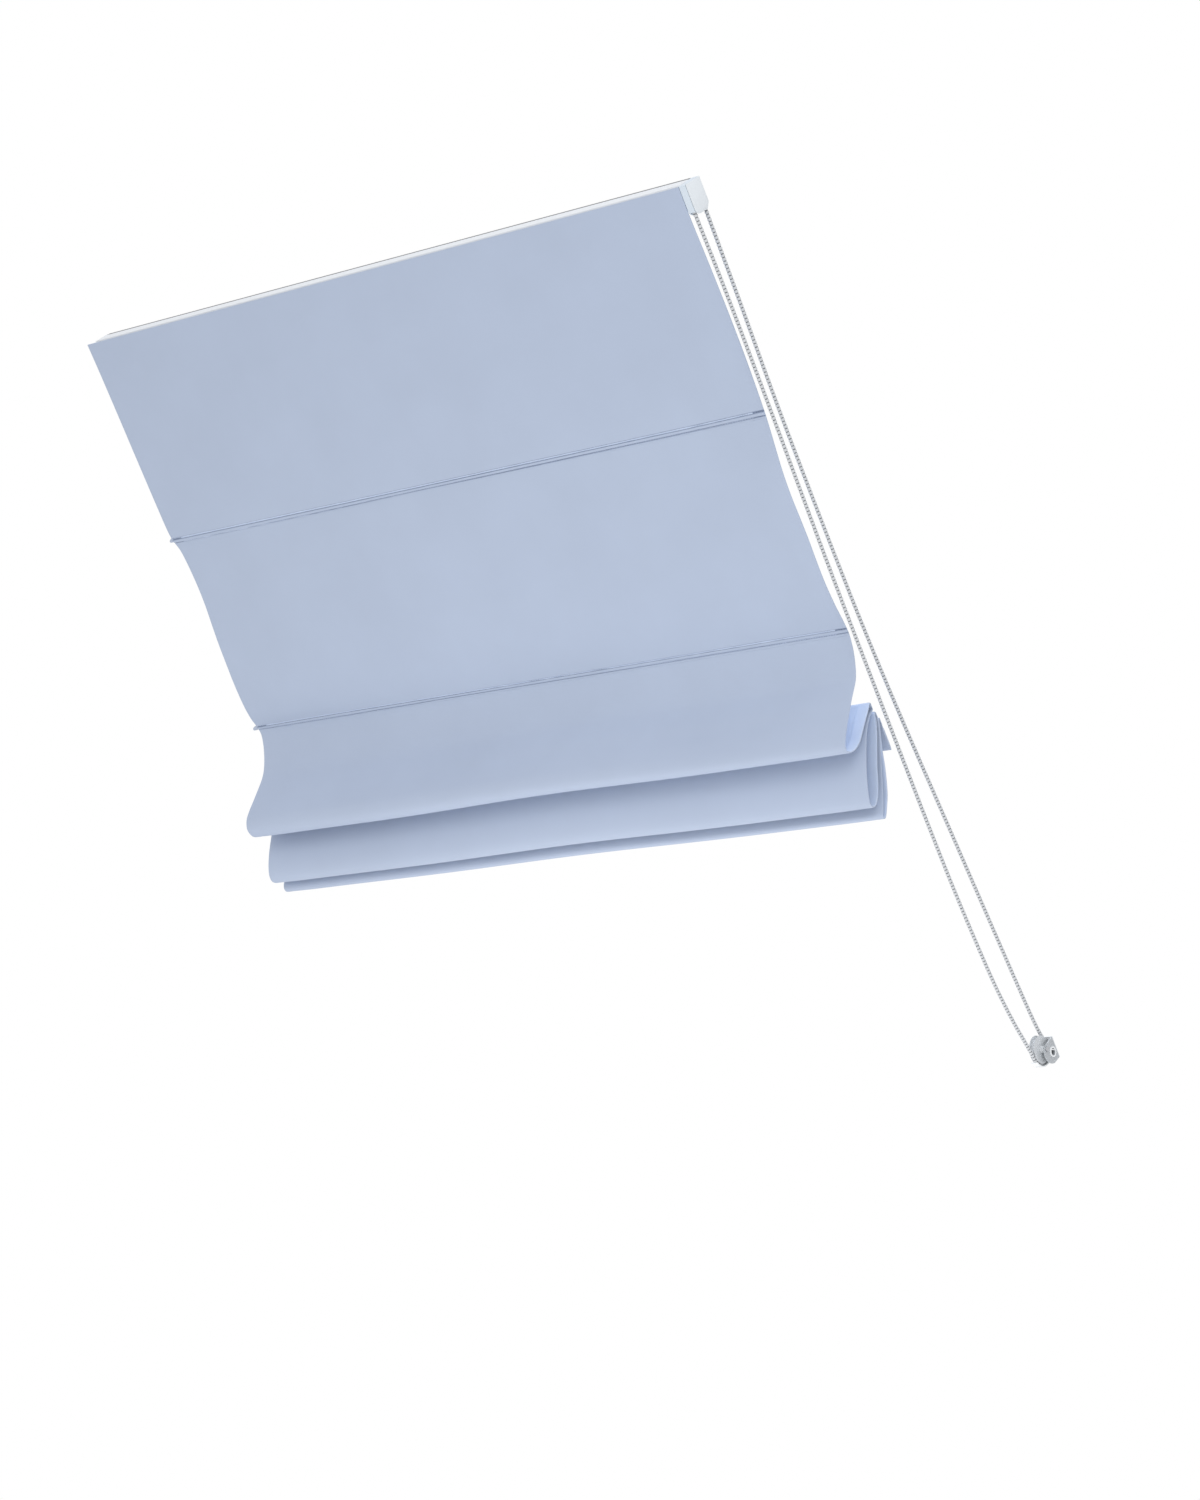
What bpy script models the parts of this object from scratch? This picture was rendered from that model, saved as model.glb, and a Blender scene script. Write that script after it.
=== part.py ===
# Skylight Roman blind: a folding fabric blind hung under a sloping ceiling, over a roof window.
#
# The blind is modelled as it hangs on a ceiling that slopes at PITCH. Inside the slope frame every
# length is a plain right-angled one: X runs along the head rail, N stands out of the slope towards
# the room, and S runs down the slope. World +Z is up, and world +Y points into the roof.
# The origin is the middle of the head rail's back face, where it meets the ceiling.

import math

import bmesh
import bpy
from mathutils import Matrix, Vector

for old in list(bpy.data.objects):
    bpy.data.objects.remove(old, do_unlink=True)

MM = 0.001

# ---------------------------------------------------------------- driving dimensions (millimetres)
PITCH = 56.0  # ceiling slope from the horizontal, degrees

FABRIC_W = 900.0  # finished width of the cloth
CLOTH_T = 1.2  # thickness of the lined cloth
CLOTH_N = 28.5  # middle of the cloth above the ceiling
S_CENTRE = 15.0  # the origin lies this far down the rail's back face

RAIL_X0, RAIL_X1 = -436.0, 449.5
RAIL_S = 30.0  # rail height along the slope
RAIL_N = 23.6  # rail depth
WALL = 1.5

SHAFT_N, SHAFT_S = 13.5, 17.0
SHAFT_AF = 6.0  # hexagonal drive shaft, across flats
LIFT_X = (-320.0, 0.0, 320.0)  # the lift cord positions
SCREW_X = (-410.0, -160.0, 160.0, 410.0)

HOUSING_X0, HOUSING_X1 = 450.4, 458.6
COVER_X0, COVER_X1 = 458.9, 460.9
CHAIN_X = 455.2
CHAIN_R = 2.4  # half the diameter of a bead
SPROCKET_R = 10.6  # pitch radius at the bead centres

TENS_X, TENS_N, TENS_S = 484.0, 20.0, 1071.5  # centre of the tensioner's wheel
TENS_R = 15.8  # pitch radius there
TENS_W = 20.0  # outer width of the tensioner

GAP = 0.2  # half the gap left at a crease, and clearance between touching pieces is 0.3 or more

# the rods: middle of the cloth strip that each carries (down the slope, above the ceiling)
ROD_SN = ((264.0, 28.5), (527.0, 28.5), (612.0, 38.5), (625.0, 35.5), (636.5, 32.5))
STRIP = 4.0  # half the height of the strip of cloth on a rod
ROD_R = 2.0
ROD_DROP = 4.2  # the rod's centre lies this far behind the strip's middle
ROD_END = 444.0  # the rods stop short of the cloth's right edge
# the hanging loops' bottoms
TIP_SN = ((629.3, 106.0), (701.7, 104.2), (720.1, 91.1))
HEM_S0, HEM_S1 = 641.0, 672.0

# ---------------------------------------------------------------- collections, materials, frames
blind = bpy.data.collections.new("skylight_blind")
cutters = bpy.data.collections.new("cutters")
bpy.context.scene.collection.children.link(blind)
bpy.context.scene.collection.children.link(cutters)


def material(name, colour, rough, metal=0.0, alpha=1.0):
    m = bpy.data.materials.new(name)
    m.use_nodes = True
    b = m.node_tree.nodes["Principled BSDF"]
    b.inputs["Base Color"].default_value = (*colour, 1.0)
    b.inputs["Roughness"].default_value = rough
    b.inputs["Metallic"].default_value = metal
    b.inputs["Alpha"].default_value = alpha
    return m


CLOTH = material("cloth", (0.43, 0.52, 0.70), 0.9)
RAIL = material("rail_white", (0.86, 0.86, 0.87), 0.4)
WHITE = material("plastic_white", (0.84, 0.86, 0.88), 0.35)
NYLON = material("nylon", (0.80, 0.80, 0.78), 0.5)
HOOK = material("hook_tape", (0.78, 0.78, 0.78), 0.95)
ALU = material("aluminium", (0.75, 0.76, 0.78), 0.3, 1.0)
STEEL = material("steel", (0.60, 0.61, 0.63), 0.3, 1.0)
FIBRE = material("fibreglass", (0.72, 0.74, 0.80), 0.45)
CLEAR = material("clear_plastic", (0.86, 0.89, 0.91), 0.1, 0.0, 0.45)
BEAD = material("bead_plastic", (0.82, 0.84, 0.85), 0.2)

SLOPE = bpy.data.objects.new("slope_frame", None)
blind.objects.link(SLOPE)
turn = Matrix.Rotation(-math.radians(90.0 + PITCH), 4, "X")
SLOPE.rotation_euler = turn.to_euler()
SLOPE.location = -(turn @ Vector((0, 0, S_CENTRE * MM)))
PLACE = {"slope_frame": Vector((0, 0, 0))}


def hinge(name, parent, s, n):
    """An empty on a joint's axis, which runs along X at (s, n)."""
    e = bpy.data.objects.new(name, None)
    e.empty_display_size = 0.02
    blind.objects.link(e)
    e.parent = bpy.data.objects[parent]
    PLACE[name] = Vector((0, n, s)) * MM
    e.location = PLACE[name] - PLACE[parent]
    return e


def seat(ob, parent, at):
    """Hang ob on a frame, with its origin at (x, n, s) in the slope frame."""
    ob.parent = bpy.data.objects[parent]
    ob.location = Vector(at) * MM - PLACE[parent]
    return ob


def take(ob, name, mat):
    """Name the active object's mesh, give it its material and its collection."""
    ob.name = ob.data.name = name
    for c in list(ob.users_collection):
        c.objects.unlink(ob)
    blind.objects.link(ob)
    ob.data.materials.clear()
    ob.data.materials.append(mat)
    return ob


def smooth(ob, angle=35.0):
    for p in ob.data.polygons:
        p.use_smooth = True
    ob.data.set_sharp_from_angle(angle=math.radians(angle))
    return ob


# directions inside the slope frame that a piece's own +Z can be laid along
ALONG = {
    "X": Matrix.Rotation(math.radians(90), 4, "Y"),
    "-X": Matrix.Rotation(math.radians(-90), 4, "Y"),
    "N": Matrix.Rotation(math.radians(-90), 4, "X"),
    "S": Matrix.Identity(4),
}
# a flat outline drawn in (n, s) and extruded along x
OUTLINE = Matrix(((0, 0, 1, 0), (1, 0, 0, 0), (0, 1, 0, 0), (0, 0, 0, 1)))


def box(name, x, n, s, mat, parent="slope_frame", bevel=0.0):
    bpy.ops.mesh.primitive_cube_add(size=1)
    ob = take(bpy.context.active_object, name, mat)
    size = Vector((x[1] - x[0], n[1] - n[0], s[1] - s[0])) * MM
    ob.data.transform(Matrix.Diagonal((*size, 1)))
    seat(ob, parent, ((x[0] + x[1]) / 2, (n[0] + n[1]) / 2, (s[0] + s[1]) / 2))
    if bevel:
        m = ob.modifiers.new("edges", "BEVEL")
        m.width, m.segments, m.limit_method = bevel * MM, 2, "ANGLE"
    return ob


def rod(name, r, length, at, along, mat, parent="slope_frame", sides=24):
    bpy.ops.mesh.primitive_cylinder_add(vertices=sides, radius=r * MM, depth=length * MM)
    ob = take(bpy.context.active_object, name, mat)
    ob.data.transform(ALONG[along])
    seat(ob, parent, at)
    return smooth(ob) if sides > 8 else ob


def turned(name, profile, at, along, mat, parent="slope_frame", steps=32, closed=True):
    """Turn a profile of (radius, height) points, whose outer side runs from the top down."""
    mesh = bpy.data.meshes.new(name)
    bm = bmesh.new()
    vs = [bm.verts.new((r * MM, 0, z * MM)) for r, z in profile]
    for a, b in zip(vs, vs[1:] + (vs[:1] if closed else [])):
        bm.edges.new((a, b))
    bm.to_mesh(mesh)
    bm.free()
    ob = bpy.data.objects.new(name, mesh)
    blind.objects.link(ob)
    mesh.materials.append(mat)
    m = ob.modifiers.new("turn", "SCREW")
    m.axis, m.steps, m.render_steps = "Z", steps, steps
    m.use_merge_vertices, m.merge_threshold = True, 0.00001
    m.use_normal_calculate = False
    ob.rotation_euler = ALONG[along].to_euler()
    seat(ob, parent, at)
    return ob


def extruded(name, outline, x, ref, mat, parent="slope_frame", holes=()):
    """A flat (n, s) outline, with any holes, extruded from x[0] to x[1]; ref is its origin (n, s)."""
    curve = bpy.data.curves.new(name, "CURVE")
    curve.dimensions, curve.fill_mode = "2D", "BOTH"
    curve.extrude = (x[1] - x[0]) / 2 * MM
    for loop in (outline, *holes):
        sp = curve.splines.new("POLY")
        sp.points.add(len(loop) - 1)
        for p, (n, s) in zip(sp.points, loop):
            p.co = ((n - ref[0]) * MM, (s - ref[1]) * MM, 0, 1)
        sp.use_cyclic_u = True
    ob = bpy.data.objects.new(name, curve)
    blind.objects.link(ob)
    curve.materials.append(mat)
    ob.rotation_euler = OUTLINE.to_euler()
    seat(ob, parent, ((x[0] + x[1]) / 2, ref[0], ref[1]))
    return ob


def as_mesh(ob):
    """The same piece as a mesh, so that it can be cut or joined."""
    bpy.context.view_layer.update()
    deps = bpy.context.evaluated_depsgraph_get()
    mesh = bpy.data.meshes.new_from_object(ob.evaluated_get(deps))
    bm = bmesh.new()
    bm.from_mesh(mesh)
    bmesh.ops.remove_doubles(bm, verts=bm.verts, dist=0.00001)
    bmesh.ops.recalc_face_normals(bm, faces=bm.faces)
    bm.to_mesh(mesh)
    bm.free()
    name, parent = ob.name, ob.parent
    local = ob.matrix_basis.copy()
    bpy.data.objects.remove(ob, do_unlink=True)
    new = bpy.data.objects.new(name, mesh)
    blind.objects.link(new)
    new.parent = parent
    new.matrix_basis = local
    return new


def tool(ob):
    """A cutter or a joined lump: it stays in the cutters' collection and isn't a piece."""
    for c in list(ob.users_collection):
        c.objects.unlink(ob)
    cutters.objects.link(ob)
    ob.hide_render = True
    ob.display_type = "WIRE"
    return ob


def boolean(ob, other, how="DIFFERENCE"):
    tool(other)
    m = ob.modifiers.new(how.lower(), "BOOLEAN")
    m.operation, m.object, m.solver = how, other, "EXACT"
    return ob


def circle(n, s, r, count=24, a0=0.0, a1=360.0):
    """Points on an arc about (n, s); the angle runs from +S towards +N. A full turn leaves out its end."""
    full = abs(a1 - a0) >= 360
    k = count if full else count - 1
    return [
        (
            n + r * math.sin(math.radians(a0 + (a1 - a0) * i / k)),
            s + r * math.cos(math.radians(a0 + (a1 - a0) * i / k)),
        )
        for i in range(count)
    ]


# ---------------------------------------------------------------- head rail
rail = extruded(
    "head_rail",
    [
        (0, 0),
        (RAIL_N, 0),
        (RAIL_N, WALL),
        (WALL, WALL),
        (WALL, RAIL_S - WALL),
        (RAIL_N, RAIL_S - WALL),
        (RAIL_N, RAIL_S),
        (0, RAIL_S),
    ],
    (RAIL_X0, RAIL_X1),
    (0, S_CENTRE),
    RAIL,
)
rail = as_mesh(rail)
for i, x in enumerate(LIFT_X):
    boolean(rail, box(f"cord_slot_{i}", (x - 9, x + 9), (9, 18), (RAIL_S - 3, RAIL_S + 3), RAIL))
for i, x in enumerate(SCREW_X):
    boolean(rail, rod(f"rail_hole_{i}", 2.4, 8, (x, 1, S_CENTRE), "N", RAIL, sides=16))

extruded(
    "rail_cover",
    [
        (24.0, 0.4),
        (25.2, 0.4),
        (25.2, 29.6),
        (24.0, 29.6),
        (24.0, 28.1),
        (19.0, 28.1),
        (19.0, 27.1),
        (24.0, 27.1),
        (24.0, 2.9),
        (19.0, 2.9),
        (19.0, 1.9),
        (24.0, 1.9),
    ],
    (RAIL_X0, RAIL_X1),
    (24.6, 15),
    RAIL,
)
box("hook_tape", (RAIL_X0 + 1, RAIL_X1 - 0.5), (25.5, 27.5), (3, 27), HOOK)

for i, x in enumerate(SCREW_X):
    turned(
        f"rail_screw_{i + 1}",
        [(0, 4.3), (2.2, 4.3), (3.6, 3.2), (3.6, 1.8), (1.9, 1.8), (1.9, -15), (0.3, -19), (0, -19)],
        (x, 0, S_CENTRE),
        "N",
        STEEL,
        steps=16,
        closed=False,
    )

cap = as_mesh(
    extruded(
        "end_cap_left",
        [(0, 1.5), (1.5, 0), (23.7, 0), (25.2, 1.5), (25.2, 28.5), (23.7, 30), (1.5, 30), (0, 28.5)],
        (RAIL_X0 - 3.6, RAIL_X0 - 0.3),
        (12.6, 15),
        WHITE,
    )
)
boolean(cap, box("cap_plug", (RAIL_X0 - 1, RAIL_X0 + 8), (1.9, 18.4), (4, 27), WHITE), "UNION")
boolean(cap, rod("cap_bore", 5.3, 8, (RAIL_X0 + 5, SHAFT_N, SHAFT_S), "X", WHITE))
m = cap.modifiers.new("edges", "BEVEL")
m.width, m.segments, m.limit_method, m.angle_limit = 0.3 * MM, 1, "ANGLE", math.radians(60)

turned(
    "shaft_bush",
    [(3.8, 3.2), (5.0, 3.2), (5.0, -3.2), (3.8, -3.2)],
    (RAIL_X0 + 4.6, SHAFT_N, SHAFT_S),
    "X",
    NYLON,
    steps=24,
)

# ---------------------------------------------------------------- drive: shaft, spools, chain wheel
hinge("drive_axis", "slope_frame", SHAFT_S, SHAFT_N)
SHAFT_X0, SHAFT_X1 = RAIL_X0 + 2.0, 458.0
rod(
    "drive_shaft",
    SHAFT_AF / math.sqrt(3),
    SHAFT_X1 - SHAFT_X0,
    ((SHAFT_X0 + SHAFT_X1) / 2, SHAFT_N, SHAFT_S),
    "X",
    ALU,
    "drive_axis",
    sides=6,
)
BORE = 3.8
for i, x in enumerate(LIFT_X):
    turned(
        f"cord_spool_{i + 1}",
        [
            (BORE, 15),
            (4.2, 15),
            (4.2, 11),
            (9, 11),
            (9, 9.5),
            (6.5, 8.0),
            (6.0, -8.0),
            (9, -9.5),
            (9, -11),
            (4.2, -11),
            (4.2, -15),
            (BORE, -15),
        ],
        (x, SHAFT_N, SHAFT_S),
        "X",
        NYLON,
        "drive_axis",
        steps=24,
    )
    cradle = box(f"spool_cradle_{i + 1}", (x - 18, x + 18), (1.8, 3.4), (5, 28.1), NYLON)
    for k, side in enumerate((-13.3, 13.3)):
        boolean(
            cradle,
            box(f"ear_{i}_{k}", (x + side - 1.1, x + side + 1.1), (2.6, 18.4), (8.5, 25.5), NYLON),
            "UNION",
        )
    boolean(cradle, rod(f"cradle_bore_{i}", 4.6, 40, (x, SHAFT_N, SHAFT_S), "X", NYLON))

turned(
    "chain_sprocket",
    [
        (BORE, 3.3),
        (11.8, 3.3),
        (11.8, 2.9),
        (SPROCKET_R - CHAIN_R - 0.4, 2.7),
        (SPROCKET_R - CHAIN_R - 0.4, -2.7),
        (11.8, -2.9),
        (11.8, -3.3),
        (BORE, -3.3),
    ],
    (CHAIN_X, SHAFT_N, SHAFT_S),
    "X",
    NYLON,
    "drive_axis",
    steps=34,
)

# ---------------------------------------------------------------- chain housing at the right end
# its back is open: the chain runs there just clear of the ceiling
SIDE = [(0.0, 0.0), (28.0, 0.0), (28.0, 28.0)]
SIDE += circle(21.0, 28.0, 7.0, 6, 90, 0)
SIDE += [(6.0, 35.0), (0.0, 29.0)]
housing = as_mesh(extruded("chain_housing", SIDE, (HOUSING_X0, HOUSING_X1), (SHAFT_N, SHAFT_S), WHITE))
boolean(housing, box("housing_void", (451.6, 462), (-1.0, 27.0), (1.2, 38), WHITE))
boolean(housing, rod("housing_spigot", 5.4, 17, (442.5, SHAFT_N, SHAFT_S), "X", WHITE), "UNION")
for k, s in enumerate(((1.9, 4.0), (26.3, 28.1))):
    boolean(housing, box(f"finger_{k}", (436, 450.8), (2.2, 17.5), s, WHITE), "UNION")
boolean(housing, rod("housing_bore", 3.9, 40, (445, SHAFT_N, SHAFT_S), "X", WHITE))

cover = as_mesh(extruded("housing_cover", SIDE, (COVER_X0, COVER_X1), (14, 17), WHITE))
m = cover.modifiers.new("edges", "BEVEL")
m.width, m.segments, m.limit_method, m.angle_limit = 0.6 * MM, 2, "ANGLE", math.radians(60)

# the wrap spring that brakes the shaft, wound on the fixed spigot
turns, per = 6, 14
spring = bpy.data.curves.new("clutch_spring", "CURVE")
spring.dimensions, spring.bevel_depth, spring.bevel_resolution = "3D", 0.45 * MM, 1
spring.use_fill_caps = True
sp = spring.splines.new("POLY")
sp.points.add(turns * per)
for i, p in enumerate(sp.points):
    a = 2 * math.pi * i / per
    p.co = ((-4.0 + 8.0 * i / (turns * per)) * MM, 6.4 * math.cos(a) * MM, 6.4 * math.sin(a) * MM, 1)
ob = bpy.data.objects.new("clutch_spring", spring)
blind.objects.link(ob)
spring.materials.append(STEEL)
seat(ob, "slope_frame", (441.5, SHAFT_N, SHAFT_S))

# ---------------------------------------------------------------- chain tensioner
T0, T1 = TENS_X - TENS_W / 2, TENS_X + TENS_W / 2
OUT_R, IN_R = TENS_R + CHAIN_R + 1.9, TENS_R + CHAIN_R + 0.5
T_TOP, T_END = 1066.0, 1093.5
BOSS_N, BOSS_S = 10.9, 1080.5

# a foot against the ceiling, two cheeks that hold the axle, and a guide round the wheel's outer side
body = box("tensioner_body", (T0, T1), (0, 1.4), (T_TOP, T_END), CLEAR)
guide = [(1.0, TENS_S + IN_R), (1.0, TENS_S + OUT_R), (TENS_N, TENS_S + OUT_R)]
guide += circle(TENS_N, TENS_S, OUT_R, 12, 0, 70)[1:]
guide += circle(TENS_N, TENS_S, IN_R, 12, 70, 0)
boolean(body, as_mesh(extruded("guide", guide, (TENS_X - 4.2, TENS_X + 4.2), (0, TENS_S), CLEAR)), "UNION")
boolean(body, box("web", (T0 + 0.5, T1 - 0.5), (0.9, 13.0), (TENS_S + IN_R + 0.1, TENS_S + OUT_R - 0.1), CLEAR), "UNION")
cheek = [
    (0.2, T_TOP + 0.2),
    (0.2, T_END - 0.2),
    (14.2, T_END - 0.2),
    (17.6, 1092.2),
    (20.6, 1090.1),
    (23.0, 1087.3),
    (24.8, 1084.2),
    (26.0, 1080.8),
    (26.4, 1077.4),
    (25.9, 1074.0),
    (24.7, 1071.1),
    (22.9, 1069.0),
    (20.6, 1067.8),
    (18.0, 1067.5),
]
for k, x in enumerate((T0, T1 - 2)):
    boolean(body, as_mesh(extruded(f"cheek_{k}", cheek, (x + 0.01, x + 1.99), (0, TENS_S), CLEAR)), "UNION")
boolean(body, rod("boss", 6.2, 3.2, (T1 - 0.4, BOSS_N, BOSS_S), "X", CLEAR, sides=32), "UNION")
boolean(body, rod("boss_recess", 4.3, 3, (T1 + 0.3, BOSS_N, BOSS_S), "X", CLEAR))
# the bar across the recess
bar_n, bar_s = BOSS_N - 1.6, BOSS_S - 2.0
across, up = (0.855, -0.518), (0.518, 0.855)
bar = [
    (bar_n + a * 4.7 * across[0] + b * 0.6 * up[0], bar_s + a * 4.7 * across[1] + b * 0.6 * up[1])
    for a, b in ((-1, -1), (1, -1), (1, 1), (-1, 1))
]
boolean(body, as_mesh(extruded("boss_bar", bar, (T1 - 1.6, T1 + 0.8), (0, TENS_S), CLEAR)), "UNION")
boolean(body, rod("axle_hole", 2.3, 40, (TENS_X, TENS_N, TENS_S), "X", CLEAR))
for k, dx in enumerate((-4.8, 4.8)):
    boolean(body, rod(f"foot_hole_{k}", 1.5, 12, (TENS_X + dx, 0, 1070.5), "N", CLEAR, sides=16))
    turned(
        f"tensioner_screw_{k + 1}",
        [(0, 2.8), (1.3, 2.8), (1.9, 2.3), (1.9, 1.7), (1.2, 1.7), (1.2, -4.5), (0.3, -6), (0, -6)],
        (TENS_X + dx, 0, 1070.5),
        "N",
        STEEL,
        steps=12,
        closed=False,
    )

turned(
    "tensioner_axle",
    [
        (0, 11.5),
        (2.6, 11.5),
        (3.0, 11.1),
        (3.0, 10.3),
        (2.0, 10.3),
        (2.0, -10.3),
        (3.0, -10.3),
        (3.0, -11.1),
        (2.6, -11.5),
        (0, -11.5),
    ],
    (TENS_X, TENS_N, TENS_S),
    "X",
    STEEL,
    steps=20,
    closed=False,
)
hinge("tensioner_axis", "slope_frame", TENS_S, TENS_N)
CORE = TENS_R - CHAIN_R - 0.4
turned(
    "tensioner_wheel",
    [
        (2.4, 7.6),
        (4.2, 7.6),
        (4.2, 3.6),
        (CORE + 3.4, 3.5),
        (CORE + 3.4, 2.9),
        (CORE, 2.7),
        (CORE, -2.7),
        (CORE + 3.4, -2.9),
        (CORE + 3.4, -3.5),
        (4.2, -3.6),
        (4.2, -7.6),
        (2.4, -7.6),
    ],
    (TENS_X, TENS_N, TENS_S),
    "X",
    CLEAR,
    "tensioner_axis",
    steps=32,
)


# ---------------------------------------------------------------- endless bead chain
def chain_x(s):
    """The chain leaves the housing's plane and drifts to the tensioner's."""
    t = min(max((s - 38.0) / (1050.0 - 38.0), 0.0), 1.0)
    return CHAIN_X + (TENS_X - CHAIN_X) * t


def through(route, count):
    """Points at even steps on a smooth curve through the route's points."""
    pts = [Vector(p) for p in route]
    ext = [2 * pts[0] - pts[1], *pts, 2 * pts[-1] - pts[-2]]
    fine = []
    for i in range(1, len(ext) - 2):
        a, b, c, d = ext[i - 1 : i + 3]
        for k in range(16):
            t = k / 16
            fine.append(
                0.5 * ((2 * b) + (c - a) * t + (2 * a - 5 * b + 4 * c - d) * t * t + (3 * b - a - 3 * c + d) * t**3)
            )
    fine.append(pts[-1])
    run = [0.0]
    for p, q in zip(fine, fine[1:]):
        run.append(run[-1] + (q - p).length)
    out, j = [], 0
    for i in range(count):
        want = run[-1] * i / (count - 1)
        while j < len(run) - 2 and run[j + 1] < want:
            j += 1
        t = (want - run[j]) / max(run[j + 1] - run[j], 1e-9)
        out.append(fine[j].lerp(fine[j + 1], t))
    return out


# (down the slope, above the ceiling): the slack rear strand, and the tighter front one
REAR = (
    (17, 2.9),
    (38, 3.1),
    (139, 9.0),
    (255, 17.0),
    (370, 22.0),
    (480, 25.3),
    (550, 25.8),
    (614, 25.0),
    (677, 23.3),
    (742, 21.0),
    (808, 18.6),
    (875, 16.3),
    (942, 13.9),
    (1009, 11.3),
    (1045, 9.0),
)
FRONT = (
    (1047, 41.4),
    (1030, 45.0),
    (1000, 49.6),
    (950, 54.0),
    (850, 56.0),
    (755, 54.3),
    (665, 51.2),
    (575, 48.0),
    (485, 44.6),
    (395, 40.2),
    (250, 32.0),
    (130, 26.3),
    (38, 24.2),
    (17, 24.1),
)
REAR_IN, FRONT_OUT = -100.9, 78.0  # where the strands meet the tensioner's wheel
wheel = [(TENS_X, n, s) for n, s in circle(TENS_N, TENS_S, TENS_R, 13, REAR_IN, FRONT_OUT)]
rear = through([(chain_x(s), n, s) for s, n in REAR] + [wheel[0]], 29)
front = through([wheel[-1]] + [(chain_x(s), n, s) for s, n in FRONT], 29)
over = [(CHAIN_X, n, s) for n, s in circle(SHAFT_N, SHAFT_S, SPROCKET_R, 10, 90, 270)]
loop = [*rear, *(Vector(p) for p in wheel[1:-1]), *front, *(Vector(p) for p in over[1:-1])]
chain = bpy.data.curves.new("bead_chain", "CURVE")
chain.dimensions, chain.bevel_depth, chain.bevel_resolution = "3D", CHAIN_R * MM, 2
sp = chain.splines.new("POLY")
sp.points.add(len(loop) - 1)
for p, q in zip(sp.points, loop):
    p.co = (*((q - Vector((CHAIN_X, SHAFT_N, SHAFT_S))) * MM), 1)
sp.use_cyclic_u = True
ob = bpy.data.objects.new("bead_chain", chain)
blind.objects.link(ob)
chain.materials.append(BEAD)
seat(ob, "slope_frame", (CHAIN_X, SHAFT_N, SHAFT_S))

# ---------------------------------------------------------------- cloth and rods
W2 = FABRIC_W / 2
HALF_T = CLOTH_T / 2
FACE = CLOTH_N + HALF_T  # the cloth's room side, where it turns over a rod
BACK = CLOTH_N - HALF_T  # its ceiling side, where it creases at mid panel

box("fabric_head", (-W2, W2), (BACK, FACE), (0.8, RAIL_S - GAP), CLOTH)


def cloth_half(name, rod_end, tip_end, downward, parent, at):
    """Half a panel, from a rod's hinge (on the cloth's face) to the crease (on its back).

    downward is True for the half that leaves a rod and False for the half that comes back to one.
    """
    a, b = (rod_end, tip_end) if downward else (tip_end, rod_end)
    ds, dn = b[0] - a[0], b[1] - a[1]
    length = math.hypot(ds, dn)
    ds, dn = ds / length, dn / length
    fs, fn = -dn, ds  # the normal of the cloth's face
    corners = []
    for p, step, mid in (
        (a, GAP, -HALF_T if downward else HALF_T),
        (b, -GAP, HALF_T if downward else -HALF_T),
    ):
        for side in (-HALF_T, HALF_T):
            k = mid + side
            corners.append((p[1] + dn * step + fn * k, p[0] + ds * step + fs * k))
    outline = [corners[0], corners[2], corners[3], corners[1]]
    return extruded(name, outline, (-W2, W2), at[::-1], CLOTH, parent)


def rod_set(k, s, n, parent):
    """The strip of cloth on rod k with its pocket and cord rings behind it, the rod and its tip."""
    back = n - HALF_T
    pocket = as_mesh(
        extruded(
            f"rod_pocket_{k}",
            [
                (n + HALF_T, s - STRIP + GAP),
                (n + HALF_T, s + STRIP - GAP),
                (back, s + STRIP - GAP),
                (back, s + 3.3),
                (back - 4.5, s + 3.3),
                (back - 6.6, s + 1.6),
                (back - 6.6, s - 1.6),
                (back - 4.5, s - 3.3),
                (back, s - 3.3),
                (back, s - STRIP + GAP),
            ],
            (-W2 + 0.3, ROD_END + 0.5),
            (n, s),
            CLOTH,
            parent,
            holes=[circle(n - ROD_DROP, s, ROD_R + 0.35, 12)],
        )
    )
    for i, x in enumerate(LIFT_X):
        bpy.ops.mesh.primitive_torus_add(
            major_radius=4.0 * MM, minor_radius=0.9 * MM, major_segments=14, minor_segments=6
        )
        ring = take(bpy.context.active_object, f"ring_{k}_{i}", CLOTH)
        seat(ring, parent, (x, back - 10.9, s))
        boolean(pocket, ring, "UNION")
    x0, x1 = -459.0, ROD_END
    rod(f"rod_{k}", ROD_R, x1 - x0, ((x0 + x1) / 2, n - ROD_DROP, s), "X", FIBRE, parent, sides=12)
    turned(
        f"rod_tip_{k}",
        [(0, 5), (1.7, 5), (2.9, 3.8), (2.9, -5), (2.3, -5), (2.3, 2.9), (0, 2.9)],
        (-456.5, n - ROD_DROP, s),
        "-X",
        WHITE,
        parent,
        steps=16,
        closed=False,
    )


# panels 1 and 2 hang flat between the rail and rod 1, and between rods 1 and 2
below = "slope_frame"
starts = (RAIL_S, ROD_SN[0][0] + STRIP)
for k in (1, 2):
    s0, s1 = starts[k - 1], ROD_SN[k - 1][0] - STRIP
    top, mid, low = (s0, FACE), ((s0 + s1) / 2, BACK), (s1, FACE)
    hinge(f"fold_{k}_top_axis", below, *top)
    cloth_half(f"panel_{k}_upper", top, mid, True, f"fold_{k}_top_axis", top)
    hinge(f"fold_{k}_axis", f"fold_{k}_top_axis", *mid)
    cloth_half(f"panel_{k}_lower", low, mid, False, f"fold_{k}_axis", mid)
    hinge(f"fold_{k}_bottom_axis", f"fold_{k}_axis", *low)
    rod_set(k, *ROD_SN[k - 1], f"fold_{k}_bottom_axis")
    below = f"fold_{k}_bottom_axis"

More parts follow.
